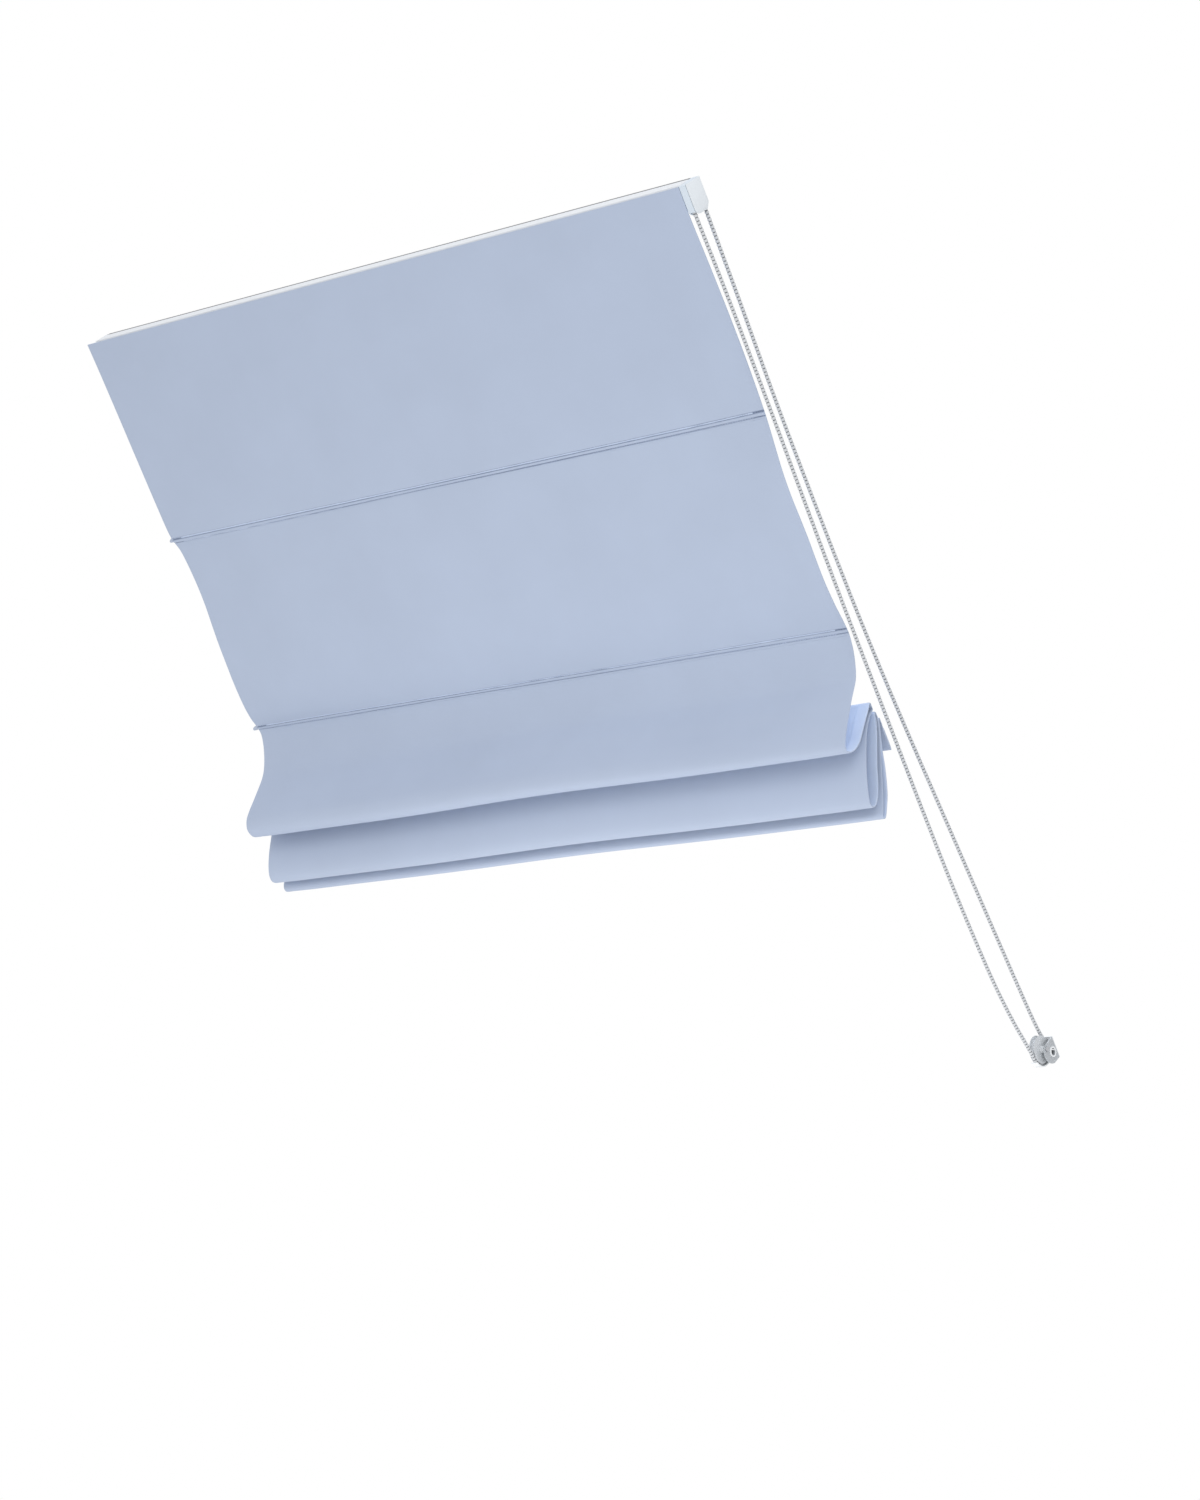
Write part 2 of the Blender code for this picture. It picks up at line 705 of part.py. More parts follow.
# panels 3 to 5 hang as loops between the gathered rods
for k in (3, 4, 5):
    s0, n0 = ROD_SN[k - 2]
    s1, n1 = ROD_SN[k - 1]
    top, tip, low = (s0 + STRIP, n0 + HALF_T), TIP_SN[k - 3], (s1 - STRIP, n1 + HALF_T)
    hinge(f"loop_{k}_top_axis", below, *top)
    cloth_half(f"panel_{k}_front", top, tip, True, f"loop_{k}_top_axis", top)
    hinge(f"loop_{k}_axis", f"loop_{k}_top_axis", *tip)
    cloth_half(f"panel_{k}_rear", low, tip, False, f"loop_{k}_axis", tip)
    hinge(f"loop_{k}_bottom_axis", f"loop_{k}_axis", *low)
    rod_set(k, s1, n1, f"loop_{k}_bottom_axis")
    below = f"loop_{k}_bottom_axis"

# the hem below the last rod, with its weight bar
s5, n5 = ROD_SN[4]
extruded(
    "hem",
    [(n5 - 2.4, HEM_S0), (n5 + 2.4, HEM_S0), (n5 + 2.4, HEM_S1), (n5 - 2.4, HEM_S1)],
    (-W2, W2),
    (n5, (HEM_S0 + HEM_S1) / 2),
    CLOTH,
    below,
    holes=[[(n5 - 1.6, 645.0), (n5 + 1.6, 645.0), (n5 + 1.6, 668.0), (n5 - 1.6, 668.0)]],
)
box("bottom_bar", (-446, 446), (n5 - 1.2, n5 + 1.2), (645.6, 667.4), ALU, below, bevel=0.3)
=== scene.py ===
import math

import bmesh
import bpy
import numpy as np
from mathutils import Matrix, Vector


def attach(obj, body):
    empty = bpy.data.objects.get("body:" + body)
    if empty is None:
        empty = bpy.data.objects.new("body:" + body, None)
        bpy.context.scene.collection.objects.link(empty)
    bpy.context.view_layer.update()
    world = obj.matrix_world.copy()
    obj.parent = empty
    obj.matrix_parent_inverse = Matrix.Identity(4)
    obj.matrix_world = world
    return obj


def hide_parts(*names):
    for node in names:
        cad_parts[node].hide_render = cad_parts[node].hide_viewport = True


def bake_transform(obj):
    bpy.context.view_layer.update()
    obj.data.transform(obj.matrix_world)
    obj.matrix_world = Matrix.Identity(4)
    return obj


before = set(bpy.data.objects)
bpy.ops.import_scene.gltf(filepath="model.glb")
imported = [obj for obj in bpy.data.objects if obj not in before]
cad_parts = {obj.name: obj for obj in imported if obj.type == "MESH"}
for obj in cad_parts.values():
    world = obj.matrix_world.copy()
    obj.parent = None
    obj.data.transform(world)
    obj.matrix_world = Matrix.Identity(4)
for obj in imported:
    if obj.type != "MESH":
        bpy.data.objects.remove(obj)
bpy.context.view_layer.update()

scene = bpy.context.scene

# ------------------------------------------------------------------ places
# Everything is laid out on the slope: X along the rail, S down the slope, N out of the ceiling, in
# millimetres. The slope is 56 degrees from the horizontal and the origin is the rail's back.
TH = math.radians(56.0)
CT, ST = math.cos(TH), math.sin(TH)
DX, DS, DN = Vector((1, 0, 0)), Vector((0, CT, -ST)), Vector((0, -ST, -CT))


def W(x, s, n):
    s = s - 15.0
    return Vector((x, CT * s - ST * n, -ST * s - CT * n)) * 0.001


def WA(a):
    """The same for an array whose last axis is x, s, n."""
    a = np.asarray(a, float)
    s = a[..., 1] - 15.0
    n = a[..., 2]
    return np.stack([a[..., 0], CT * s - ST * n, -ST * s - CT * n], -1) * 0.001


ROD = {1: (264.0, 28.5), 2: (527.0, 28.5), 3: (612.0, 38.5), 4: (625.0, 35.5), 5: (636.5, 32.5)}
TIP = {3: (629.3, 106.0), 4: (701.7, 104.2), 5: (720.1, 91.1)}
# where the photograph shows the gathered rods, a little lower than the frame's
SEEN = {**ROD, 3: (614.2, 38.5), 4: (627.0, 35.5)}
LIFT_X = (-320.0, 0.0, 320.0)
DROP = 4.2
TENS = (484.0, 1071.5, 20.0)

# ------------------------------------------------------------------ camera
cam = bpy.data.objects.new("camera", bpy.data.cameras.new("camera"))
scene.collection.objects.link(cam)
cam.data.sensor_width = 36.0
cam.data.lens = 3509.4 / 1500.0 * 36.0
cam.data.clip_start, cam.data.clip_end = 0.1, 200.0
fwd = (-0.611866 * DX + 0.299653 * DS - 0.732003 * DN).normalized()
right = (0.782677 * DX + 0.362972 * DS - 0.505637 * DN).normalized()
up = right.cross(fwd)
m = Matrix((right, up, -fwd)).transposed().to_4x4()
m.translation = W(2585.73, -615.78, 3055.25)
cam.matrix_world = m
scene.camera = cam


# ------------------------------------------------------------------ making meshes
def catmull(pts, per=16):
    """Points on a smooth curve through pts, per of them for each span, with the ends."""
    p = np.asarray(pts, float)
    e = np.vstack([2 * p[0] - p[1], p, 2 * p[-1] - p[-2]])
    t = (np.arange(per) / per)[:, None]
    out = []
    for i in range(1, len(e) - 2):
        a, b, c, d = e[i - 1], e[i], e[i + 1], e[i + 2]
        out.append(0.5 * (2 * b + (c - a) * t + (2 * a - 5 * b + 4 * c - d) * t * t + (3 * b - a - 3 * c + d) * t**3))
    return np.vstack([*out, p[-1:]])


def along(line):
    return np.concatenate([[0], np.cumsum(np.linalg.norm(np.diff(line, axis=0), axis=1))])


def at(line, where):
    """The line's points at these distances along it."""
    run = along(line)
    return np.stack([np.interp(where, run, line[:, k]) for k in range(line.shape[1])], -1)


def mesh_object(name, verts, faces, mats=(), angle=None, uv=None):
    me = bpy.data.meshes.new(name)
    me.from_pydata(np.asarray(verts).tolist(), [], faces)
    me.update()
    for mat in mats if isinstance(mats, (list, tuple)) else [mats]:
        me.materials.append(mat)
    if uv is not None:
        layer = me.uv_layers.new(name="flat")
        idx = np.zeros(len(me.loops), np.int32)
        me.loops.foreach_get("vertex_index", idx)
        layer.data.foreach_set("uv", np.asarray(uv, np.float32)[idx].ravel())
    me.shade_smooth()
    if angle is not None:
        me.set_sharp_from_angle(angle=math.radians(angle))
    ob = bpy.data.objects.new(name, me)
    scene.collection.objects.link(ob)
    return ob


def smoothstep(a, b, v):
    t = np.clip((np.asarray(v, float) - a) / (b - a), 0, 1)
    return t * t * (3 - 2 * t)


def grid_faces(r, c, base=0, flip=False):
    i, j = np.meshgrid(np.arange(r - 1), np.arange(c - 1), indexing="ij")
    a = (i * c + j + base).ravel()
    q = np.stack([a, a + 1, a + c + 1, a + c], -1)
    return q[:, ::-1] if flip else q


def shell(name, front, back, mats, uv=None, angle=50, marks=None):
    """A closed sheet between two grids of points in x, s, n."""
    r, c = front.shape[:2]
    n = r * c
    verts = WA(np.concatenate([front.reshape(-1, 3), back.reshape(-1, 3)]))
    f = [grid_faces(r, c), grid_faces(r, c, n, True)]
    top, bottom = np.arange(c), np.arange(c) + (r - 1) * c
    left, right_ = np.arange(r) * c, np.arange(r) * c + c - 1
    for edge, flip in ((top, True), (bottom, False), (left, False), (right_, True)):
        a, b = edge[:-1], edge[1:]
        q = np.stack([a, b, b + n, a + n], -1)
        f.append(q[:, ::-1] if flip else q)
    faces = np.concatenate(f)
    # outward is the side that the front faces
    v = verts[faces[0]]
    out = np.cross(v[1] - v[0], v[2] - v[0]) @ (verts[faces[0][0]] - verts[faces[0][0] + n])
    if out < 0:
        faces = faces[:, ::-1]
    ob = mesh_object(name, verts, faces.tolist(), mats, angle, None if uv is None else np.concatenate([uv, uv]))
    if isinstance(mats, (list, tuple)) and len(mats) > 1:
        look = np.zeros(len(faces), np.int32)
        look[(r - 1) * (c - 1) : 2 * (r - 1) * (c - 1)] = 1
        if marks is not None:
            look[: (r - 1) * (c - 1)] = marks.reshape(-1)
        ob.data.polygons.foreach_set("material_index", look)
    return ob


def recalc(ob):
    bm = bmesh.new()
    bm.from_mesh(ob.data)
    bmesh.ops.recalc_face_normals(bm, faces=bm.faces)
    bm.to_mesh(ob.data)
    bm.free()
    return ob


def loft(name, rings, mats, closed=False, cap=True, angle=40, uv=None):
    """A skin over rings of points in x, s, n. closed joins the last ring to the first."""
    rings = np.asarray(rings, float)
    r, c = rings.shape[:2]
    faces = []
    for i in range(r if closed else r - 1):
        a, b = i * c, ((i + 1) % r) * c
        for j in range(c):
            k = (j + 1) % c
            faces.append((a + j, a + k, b + k, b + j))
    if cap and not closed:
        faces += [tuple(range(c))[::-1], tuple(range((r - 1) * c, r * c))]
    return recalc(mesh_object(name, WA(rings.reshape(-1, 3)), faces, mats, angle, uv))


def detailed(node, width, mats, segments=3, limit=30.0, smooth=35.0, name=None):
    """The CAD node's own shape as a new piece: flat faces made whole, edges rounded, curves smooth."""
    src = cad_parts[node]
    bm = bmesh.new()
    bm.from_mesh(src.data)
    bmesh.ops.remove_doubles(bm, verts=bm.verts, dist=1e-6)
    bmesh.ops.dissolve_limit(bm, angle_limit=math.radians(0.6), verts=bm.verts, edges=bm.edges)
    bmesh.ops.recalc_face_normals(bm, faces=bm.faces)
    me = bpy.data.meshes.new((name or node) + "_shape")
    bm.to_mesh(me)
    bm.free()
    ob = bpy.data.objects.new(name or node + "_finish", me)
    scene.collection.objects.link(ob)
    for mat in mats if isinstance(mats, (list, tuple)) else [mats]:
        me.materials.append(mat)
    me.shade_smooth()
    me.set_sharp_from_angle(angle=math.radians(smooth))
    if width:
        b = ob.modifiers.new("edges", "BEVEL")
        b.width, b.segments, b.limit_method, b.angle_limit = width * 0.001, segments, "ANGLE", math.radians(limit)
        b.harden_normals = True
        b.use_clamp_overlap = True
    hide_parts(node)
    return ob


# ------------------------------------------------------------------ materials
def material(name, colour, rough=0.5, metal=0.0, **more):
    mat = bpy.data.materials.new(name)
    mat.use_nodes = True
    b = mat.node_tree.nodes["Principled BSDF"]
    b.inputs["Base Color"].default_value = (*colour, 1)
    b.inputs["Roughness"].default_value = rough
    b.inputs["Metallic"].default_value = metal
    for k, v in more.items():
        b.inputs[k.replace("_", " ")].default_value = v
    return mat, mat.node_tree, b


def node(tree, kind, **props):
    n = tree.nodes.new(kind)
    for k, v in props.items():
        if k in n.inputs:
            n.inputs[k].default_value = v
        else:
            setattr(n, k, v)
    return n


def link(tree, a, b):
    tree.links.new(a, b)


def mapped(tree, source, scale):
    tc = tree.nodes.new("ShaderNodeTexCoord")
    mp = tree.nodes.new("ShaderNodeMapping")
    mp.inputs["Scale"].default_value = scale if hasattr(scale, "__len__") else (scale,) * 3
    link(tree, tc.outputs[source], mp.inputs["Vector"])
    return mp.outputs["Vector"]


def varied(tree, b, colour, vec, scale, spread, detail=3.0):
    """The colour, drifting a little lighter and darker over the surface."""
    nz = node(tree, "ShaderNodeTexNoise", Scale=scale, Detail=detail, Roughness=0.55)
    link(tree, vec, nz.inputs["Vector"])
    ramp = tree.nodes.new("ShaderNodeValToRGB")
    ramp.color_ramp.elements[0].position, ramp.color_ramp.elements[1].position = 0.3, 0.7
    ramp.color_ramp.elements[0].color = (*[c * (1 - spread) for c in colour], 1)
    ramp.color_ramp.elements[1].color = (*[min(1.0, c * (1 + spread)) for c in colour], 1)
    link(tree, nz.outputs["Fac"], ramp.inputs["Fac"])
    link(tree, ramp.outputs["Color"], b.inputs["Base Color"])
    return ramp


def bump(tree, b, height, strength, distance, under=None):
    bp = node(tree, "ShaderNodeBump", Strength=strength, Distance=distance)
    link(tree, height, bp.inputs["Height"])
    if under is not None:
        link(tree, under, bp.inputs["Normal"])
    link(tree, bp.outputs["Normal"], b.inputs["Normal"])
    return bp.outputs["Normal"]


def woven(name, colour, thread=0.55, lift=0.00006, tint=0.02, sheen=0.15, source="UV"):
    """Plain weave: warp and weft threads of that pitch in mm, slubs, and a soft surface."""
    mat, tree, b = material(name, colour, 0.86, Sheen_Weight=sheen, Sheen_Roughness=0.6)
    b.inputs["Specular IOR Level"].default_value = 0.25
    vec = mapped(tree, source, 1.0)
    ramp = varied(tree, b, colour, vec, 9.0, tint)
    k = 1000.0 / thread / 2.0 / math.pi * 2.0
    waves = []
    for axis in ("X", "Y"):
        w = node(tree, "ShaderNodeTexWave", Scale=k / 2, Distortion=0.6, wave_type="BANDS", bands_direction=axis)
        w.inputs["Detail"].default_value = 1.0
        w.inputs["Detail Scale"].default_value = 0.4
        link(tree, vec, w.inputs["Vector"])
        waves.append(w.outputs["Fac"])
    weave = node(tree, "ShaderNodeMath", operation="MULTIPLY")
    link(tree, waves[0], weave.inputs[0])
    link(tree, waves[1], weave.inputs[1])
    slub = node(tree, "ShaderNodeTexNoise", Scale=60.0, Detail=2.0)
    link(tree, mapped(tree, source, (1.0, 9.0, 1.0)), slub.inputs["Vector"])
    first = bump(tree, b, weave.outputs[0], 0.35, lift)
    bump(tree, b, slub.outputs["Fac"], 0.25, lift * 2, first)
    return mat


def plastic(name, colour, rough=0.32, grain=0.00004, tint=0.015, **more):
    """Moulded plastic: a fine even grain and a little unevenness in its gloss."""
    mat, tree, b = material(name, colour, rough, **more)
    vec = mapped(tree, "Object", 1.0)
    varied(tree, b, colour, vec, 45.0, tint)
    nz = node(tree, "ShaderNodeTexNoise", Scale=900.0, Detail=2.0)
    link(tree, vec, nz.inputs["Vector"])
    bump(tree, b, nz.outputs["Fac"], 0.2, grain)
    gloss = node(tree, "ShaderNodeTexNoise", Scale=60.0, Detail=4.0)
    link(tree, vec, gloss.inputs["Vector"])
    mr = node(tree, "ShaderNodeMapRange")
    mr.inputs["To Min"].default_value, mr.inputs["To Max"].default_value = rough * 0.85, min(1.0, rough * 1.2)
    link(tree, gloss.outputs["Fac"], mr.inputs["Value"])
    link(tree, mr.outputs["Result"], b.inputs["Roughness"])
    return mat


def metal(name, colour, rough, scale=(40.0, 900.0, 900.0), lift=0.00002):
    """Drawn or plated metal, with fine lines along X."""
    mat, tree, b = material(name, colour, rough, 1.0)
    vec = mapped(tree, "Object", scale)
    nz = node(tree, "ShaderNodeTexNoise", Scale=1.0, Detail=3.0)
    link(tree, vec, nz.inputs["Vector"])
    bump(tree, b, nz.outputs["Fac"], 0.3, lift)
    mr = node(tree, "ShaderNodeMapRange")
    mr.inputs["To Min"].default_value, mr.inputs["To Max"].default_value = rough * 0.8, rough * 1.3
    link(tree, nz.outputs["Fac"], mr.inputs["Value"])
    link(tree, mr.outputs["Result"], b.inputs["Roughness"])
    varied(tree, b, colour, mapped(tree, "Object", 1.0), 70.0, 0.03)
    return mat


def rail_paint():
    """Powder coat: white on the rail, and dark grey within about 5 mm of the ceiling."""
    mat, tree, b = material("rail_paint", (0.84, 0.86, 0.885), 0.42)
    vec = mapped(tree, "Object", 1.0)
    dot = node(tree, "ShaderNodeVectorMath", operation="DOT_PRODUCT")
    dot.inputs[1].default_value = tuple(DN)
    link(tree, vec, dot.inputs[0])
    step = node(tree, "ShaderNodeMapRange")
    step.inputs["From Min"].default_value, step.inputs["From Max"].default_value = 0.0048, 0.0054
    link(tree, dot.outputs["Value"], step.inputs["Value"])
    ramp = tree.nodes.new("ShaderNodeValToRGB")
    ramp.color_ramp.elements[0].color = (0.17, 0.175, 0.18, 1)
    ramp.color_ramp.elements[1].color = (0.84, 0.86, 0.885, 1)
    link(tree, step.outputs["Result"], ramp.inputs["Fac"])
    link(tree, ramp.outputs["Color"], b.inputs["Base Color"])
    nz = node(tree, "ShaderNodeTexNoise", Scale=1400.0, Detail=2.0)
    link(tree, vec, nz.inputs["Vector"])
    bump(tree, b, nz.outputs["Fac"], 0.25, 0.00005)
    return mat


CLOTH_RGB = (0.460, 0.530, 0.665)
CLOTH = woven("cloth", CLOTH_RGB)
# the back of the cloth and the pockets: paler and bluer than the face, painted light as if lit through the cloth from
# behind
PAINTED_LIGHT_BACK = woven("cloth_back_painted_light", (0.62, 0.71, 0.87))
# darker copies of the cloth colour in five steps: painted shade for the sewn lines of the seams
SEAM_SHADE_CLOTH = [woven(f"cloth_painted_seam_shade_{i}", tuple(a + (b - a) * i / 5 for a, b in zip(CLOTH_RGB, (0.235, 0.290, 0.415))))
          for i in range(1, 6)]
THREAD = woven("thread", (0.33, 0.39, 0.52), 0.3, source="Object")
RAIL = rail_paint()
WHITE = plastic("plastic_white", (0.80, 0.83, 0.85), 0.30)
HOUSING = plastic("plastic_white_housing", (0.70, 0.775, 0.845), 0.30)
CAP_FACE = plastic("plastic_white_face", (0.76, 0.80, 0.83), 0.34)
TIP_BLUE = plastic("rod_end_plastic", (0.50, 0.56, 0.68), 0.42)
NYLON = plastic("nylon", (0.70, 0.70, 0.67), 0.5)
# the hook tape, made dark grey as painted shade: the shadow line between the rail cover and the cloth
TAPE_PAINTED_SHADE = woven("hook_tape", (0.42, 0.43, 0.445), 1.2, 0.0003, source="Object")
ALU = metal("aluminium", (0.72, 0.73, 0.75), 0.32)
STEEL = metal("steel", (0.55, 0.56, 0.58), 0.28, (300.0, 300.0, 300.0))
FIBRE = plastic("fibreglass", (0.62, 0.65, 0.72), 0.4, 0.00008)
CLEAR = plastic("clear_plastic", (0.60, 0.63, 0.655), 0.10, 0.00001, 0.005, Transmission_Weight=0.25, IOR=1.5)
# copies of the clear plastic in painted light: a darker shaded one, a lighter lit one, and a near-black one for the
# shade in the boss's recess
CLEAR_PAINTED_SHADE = plastic("clear_plastic_shade", (0.56, 0.595, 0.625), 0.12, 0.00001, 0.005, Transmission_Weight=0.1, IOR=1.5)
CLEAR_PAINTED_HIGHLIGHT = plastic("clear_plastic_painted_highlight", (0.90, 0.92, 0.93), 0.10, 0.00001, 0.005, Coat_Weight=0.5)
RECESS_PAINTED_SHADE = plastic("clear_plastic_painted_recess_shade", (0.10, 0.105, 0.11), 0.25, 0.00001, 0.02)
CLEAR_WHEEL = plastic("clear_wheel", (0.74, 0.77, 0.795), 0.16, 0.00001, 0.01, Transmission_Weight=0.2, IOR=1.5)
BEAD = plastic("bead_plastic", (0.64, 0.655, 0.67), 0.40, 0.00001, 0.01, Specular_IOR_Level=0.12)
# the bead cord, painted near-black to stand for the shade in the gaps between the beads
CORD_PAINTED_SHADE = plastic("bead_cord_painted_shade", (0.16, 0.17, 0.18), 0.5, 0.00001, 0.01)


# ------------------------------------------------------------------ bead chain (the only cord)
BEAD_R, BEAD_HALF, PITCH = 2.4, 1.75, 4.1


def arc(x, s, n, r, a0, a1, count):
    a = np.radians(np.linspace(a0, a1, count))
    return np.stack([np.full(count, x), s + r * np.cos(a), n + r * np.sin(a)], -1)


def chain_x(s):
    return 455.2 + 28.8 * min(max((s - 38.0) / 1012.0, 0.0), 1.0)


REAR = ((17, 2.9), (38, 3.1), (139, 9.0), (255, 17.0), (370, 22.0), (480, 25.3), (550, 25.8), (614, 25.0),
        (677, 23.3), (742, 21.0), (808, 18.6), (875, 16.3), (942, 13.9), (1009, 11.3), (1045, 9.0))
FRONT = ((1047, 41.4), (1030, 45.0), (1000, 49.6), (950, 54.0), (850, 56.0), (755, 54.3), (665, 51.2),
         (575, 48.0), (485, 44.6), (395, 40.2), (250, 32.0), (130, 26.3), (38, 24.2), (17, 24.1))
wheel = arc(TENS[0], TENS[1], TENS[2], 15.8, -100.9, 78.0, 40)
rear = catmull([(chain_x(s), s, n) for s, n in REAR] + [tuple(wheel[0])])
front = catmull([tuple(wheel[-1])] + [(chain_x(s), s, n) for s, n in FRONT])
over = arc(455.2, 17.0, 13.5, 10.6, 90, 270, 40)
route = np.vstack([over[20:-1], rear[:-1], wheel[:-1], front[:-1], over[:20]])
run = along(route)
beads = round(run[-1] / PITCH)
spots = at(route, (np.arange(beads) + 0.5) * run[-1] / beads)
heading = at(route, np.clip((np.arange(beads) + 0.5) * run[-1] / beads + 0.5, 0, run[-1])) - at(
    route, np.clip((np.arange(beads) + 0.5) * run[-1] / beads - 0.5, 0, run[-1]))
heading /= np.linalg.norm(heading, axis=1)[:, None]


def sides_of(t):
    a = np.cross(t, np.broadcast_to([1.0, 0.0, 0.0], t.shape))
    a /= np.linalg.norm(a, axis=1)[:, None]
    return a, np.cross(t, a)


def bead_mesh(name):
    seg, rings = 12, 8
    verts, faces, look = [], [], []
    a, b = sides_of(heading)
    th = np.pi * np.arange(1, rings) / rings
    ph = 2 * np.pi * np.arange(seg) / seg
    wide = BEAD_R * np.sin(th) ** 0.4
    unit = np.stack([np.outer(wide, np.cos(ph)), np.outer(wide, np.sin(ph)),
                     np.outer(-BEAD_HALF * np.cos(th), np.ones(seg))], -1).reshape(-1, 3)
    per = len(unit) + 2
    for i, c in enumerate(spots):
        p = c + unit[:, :1] * a[i] + unit[:, 1:2] * b[i] + unit[:, 2:] * heading[i]
        verts.append(np.vstack([p, c - heading[i] * BEAD_HALF, c + heading[i] * BEAD_HALF]))
    ring = []
    for k in range(rings - 2):
        for j in range(seg):
            m_ = (j + 1) % seg
            ring.append((k * seg + j, k * seg + m_, (k + 1) * seg + m_, (k + 1) * seg + j))
    for j in range(seg):
        m_ = (j + 1) % seg
        ring.append((per - 2, m_, j))
        ring.append((per - 1, (rings - 2) * seg + j, (rings - 2) * seg + m_))
    for i in range(len(spots)):
        faces += [tuple(v + i * per for v in f) for f in ring]
    look += [0] * len(faces)
    base = per * len(spots)
    # the cord that the beads are moulded on, one short neck between each two, near-black as painted shade for the gaps
    # between the beads
    n6 = 8
    p6 = 2 * np.pi * np.arange(n6) / n6
    for i in range(len(spots) - 1):
        u = spots[i + 1] - spots[i]
        u = (u / np.linalg.norm(u))[None]
        s1, s2 = sides_of(u)
        ends = (spots[i] + u[0] * 1.45, (spots[i] + spots[i + 1]) / 2, spots[i + 1] - u[0] * 1.45)
        for q, r in zip(ends, (1.7, 1.9, 1.7)):
            verts.append(q + r * (np.cos(p6)[:, None] * s1 + np.sin(p6)[:, None] * s2))
        for e in (0, 1):
            for j in range(n6):
                k = (j + 1) % n6
                o = base + e * n6
                faces.append((o + j, o + k, o + n6 + k, o + n6 + j))
        faces += [tuple(base + j for j in range(n6))[::-1], tuple(base + 2 * n6 + j for j in range(n6))]
        look += [1] * (2 * n6 + 2)
        base += 3 * n6
    ob = mesh_object(name, WA(np.vstack(verts)), faces, [BEAD, CORD_PAINTED_SHADE])
    ob.data.polygons.foreach_set("material_index", look)
    return recalc(ob)


chain = bead_mesh("chain_beads")
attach(chain, "rail_frame")
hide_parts("bead_chain")

# ------------------------------------------------------------------ cloth
# One sheet of cloth, 900 mm wide. Its shape is drawn as two lines down the slope in (s, n), one at
# each edge, and the cloth between them bellies out a little in each flat panel.
HEAD = [(0.8, 28.5), (8, 28.5), (16, 28.5), (24, 28.5), (30, 28.5)]
L1 = [(45, 28.7), (75, 29.2), (110, 29.9), (150, 30.8), (190, 31.6), (225, 32.2), (248, 32.3)]
R1 = [(45, 28.2), (75, 27.0), (110, 25.9), (150, 25.2), (190, 25.3), (225, 26.4), (248, 27.6)]
L1S, R1S = [(260, 31.6), (264, 31.0), (268, 29.8)], [(260, 28.4), (264, 28.6), (268, 29.0)]
L2 = [(280, 25.6), (300, 23.8), (328, 23.4), (355, 24.8), (381, 28.0), (408, 31.0), (435, 33.0), (462, 34.6),
      (490, 34.6), (510, 32.4)]
R2 = [(280, 30.4), (300, 33.2), (328, 36.8), (355, 38.2), (381, 37.6), (408, 37.0), (435, 37.6), (462, 37.4),
      (490, 34.8), (510, 31.4)]
L2S, R2S = [(523, 28.8), (527, 28.0), (531, 27.4)], [(523, 29.6), (527, 29.3), (531, 29.5)]
L3 = [(537.6, 27.2), (546, 29.6), (555.1, 33.7), (566, 40.2), (576.2, 48.1), (583, 56), (588.6, 65.2), (594, 75.5),
      (599.3, 85.5), (604.5, 96), (609.9, 105.7), (614, 111.2), (619.5, 115.2), (624.5, 117), (629.5, 116.6),
      (635, 114.3), (639, 110), (640.5, 104), (639.5, 95), (635, 82.5), (628.6, 69.4), (621.2, 56.5), (616.2, 47.5),
      (612.6, 42.4), (610.7, 40.3)]
R3 = [(538, 30.6), (547.2, 32.9), (555, 35.8), (562.5, 39.4), (570, 43.8), (577, 50), (584, 60), (591, 70.5),
      (599, 80.5), (606.5, 91), (614.5, 100.5), (619, 105.5), (623.4, 109.6), (627.5, 112.2), (631.6, 112.6),
      (635.6, 109.6), (638.1, 103.5), (638.8, 94.6), (636.0, 82.2), (628.6, 69.4), (621.0, 56.5), (616.6, 48.6),
      (613.4, 43.4), (611.4, 40.8), (610.7, 39.8)]
S3 = [(608.3, 39.0), (609.4, 38.5), (612, 38.5), (614.6, 38.5), (616, 38.9)]
S3 = [(s + 2.2, n) for s, n in S3]
L4 = [(619.8, 42.6), (623.6, 49.5), (634.8, 63.5), (647, 77.5), (660.6, 91.3), (670, 100), (680.2, 107.9), (688, 112.6),
      (694.7, 115.2), (700.5, 115), (705, 111.8), (707.4, 106), (705.6, 98), (697, 87), (680, 72.5), (660, 58.5),
      (643.6, 46.7), (632.4, 39.9), (625.6, 37.4)]
R4 = [(619.8, 42.8), (622.2, 49.7), (632, 63.6), (649, 77.3), (667.6, 89.5), (680, 96.4), (691, 101.8), (699, 105.4),
      (705, 107), (710, 105.8), (712.4, 101.6), (711.6, 95.6), (704, 86), (691, 76.2), (677.8, 68.9), (660, 57),
      (643.6, 45.9), (632.4, 39.8), (625.6, 37.4)]
L4 = [(s - 1.5 * min(max((s - 640) / 50, 0), 1), n) for s, n in L4]
R4 = [(s - 4.8 * min(max((s - 640) / 50, 0), 1), n) for s, n in R4]
S4 = [(623.4, 36.4), (623.7, 35.7), (625.2, 35.4), (627.2, 35.4), (630.2, 35.5)]
L5 = [(634.2, 37.2), (645, 42.0), (662, 53.6), (682, 68.6), (700, 83.4), (709, 93.2), (714.5, 98.6), (719, 100.6),
      (723.3, 99.2), (724.8, 94.6), (721.6, 87), (712, 76.6), (697, 65.6), (680, 55.8), (663.5, 48.7), (648, 41),
      (638.4, 36.2), (634, 34.4)]
R5 = [(634.2, 37.0), (645, 41.3), (662, 52.3), (680, 63.6), (697, 73.8), (711, 83), (719.4, 89.6), (723.6, 92.6),
      (727.2, 92.2), (727.6, 88.4), (720.6, 80.6), (709.6, 70.6), (696.4, 62.6), (679.8, 54.6), (663.5, 48.4),
      (648, 40.8), (638.4, 36.0), (634, 34.3)]
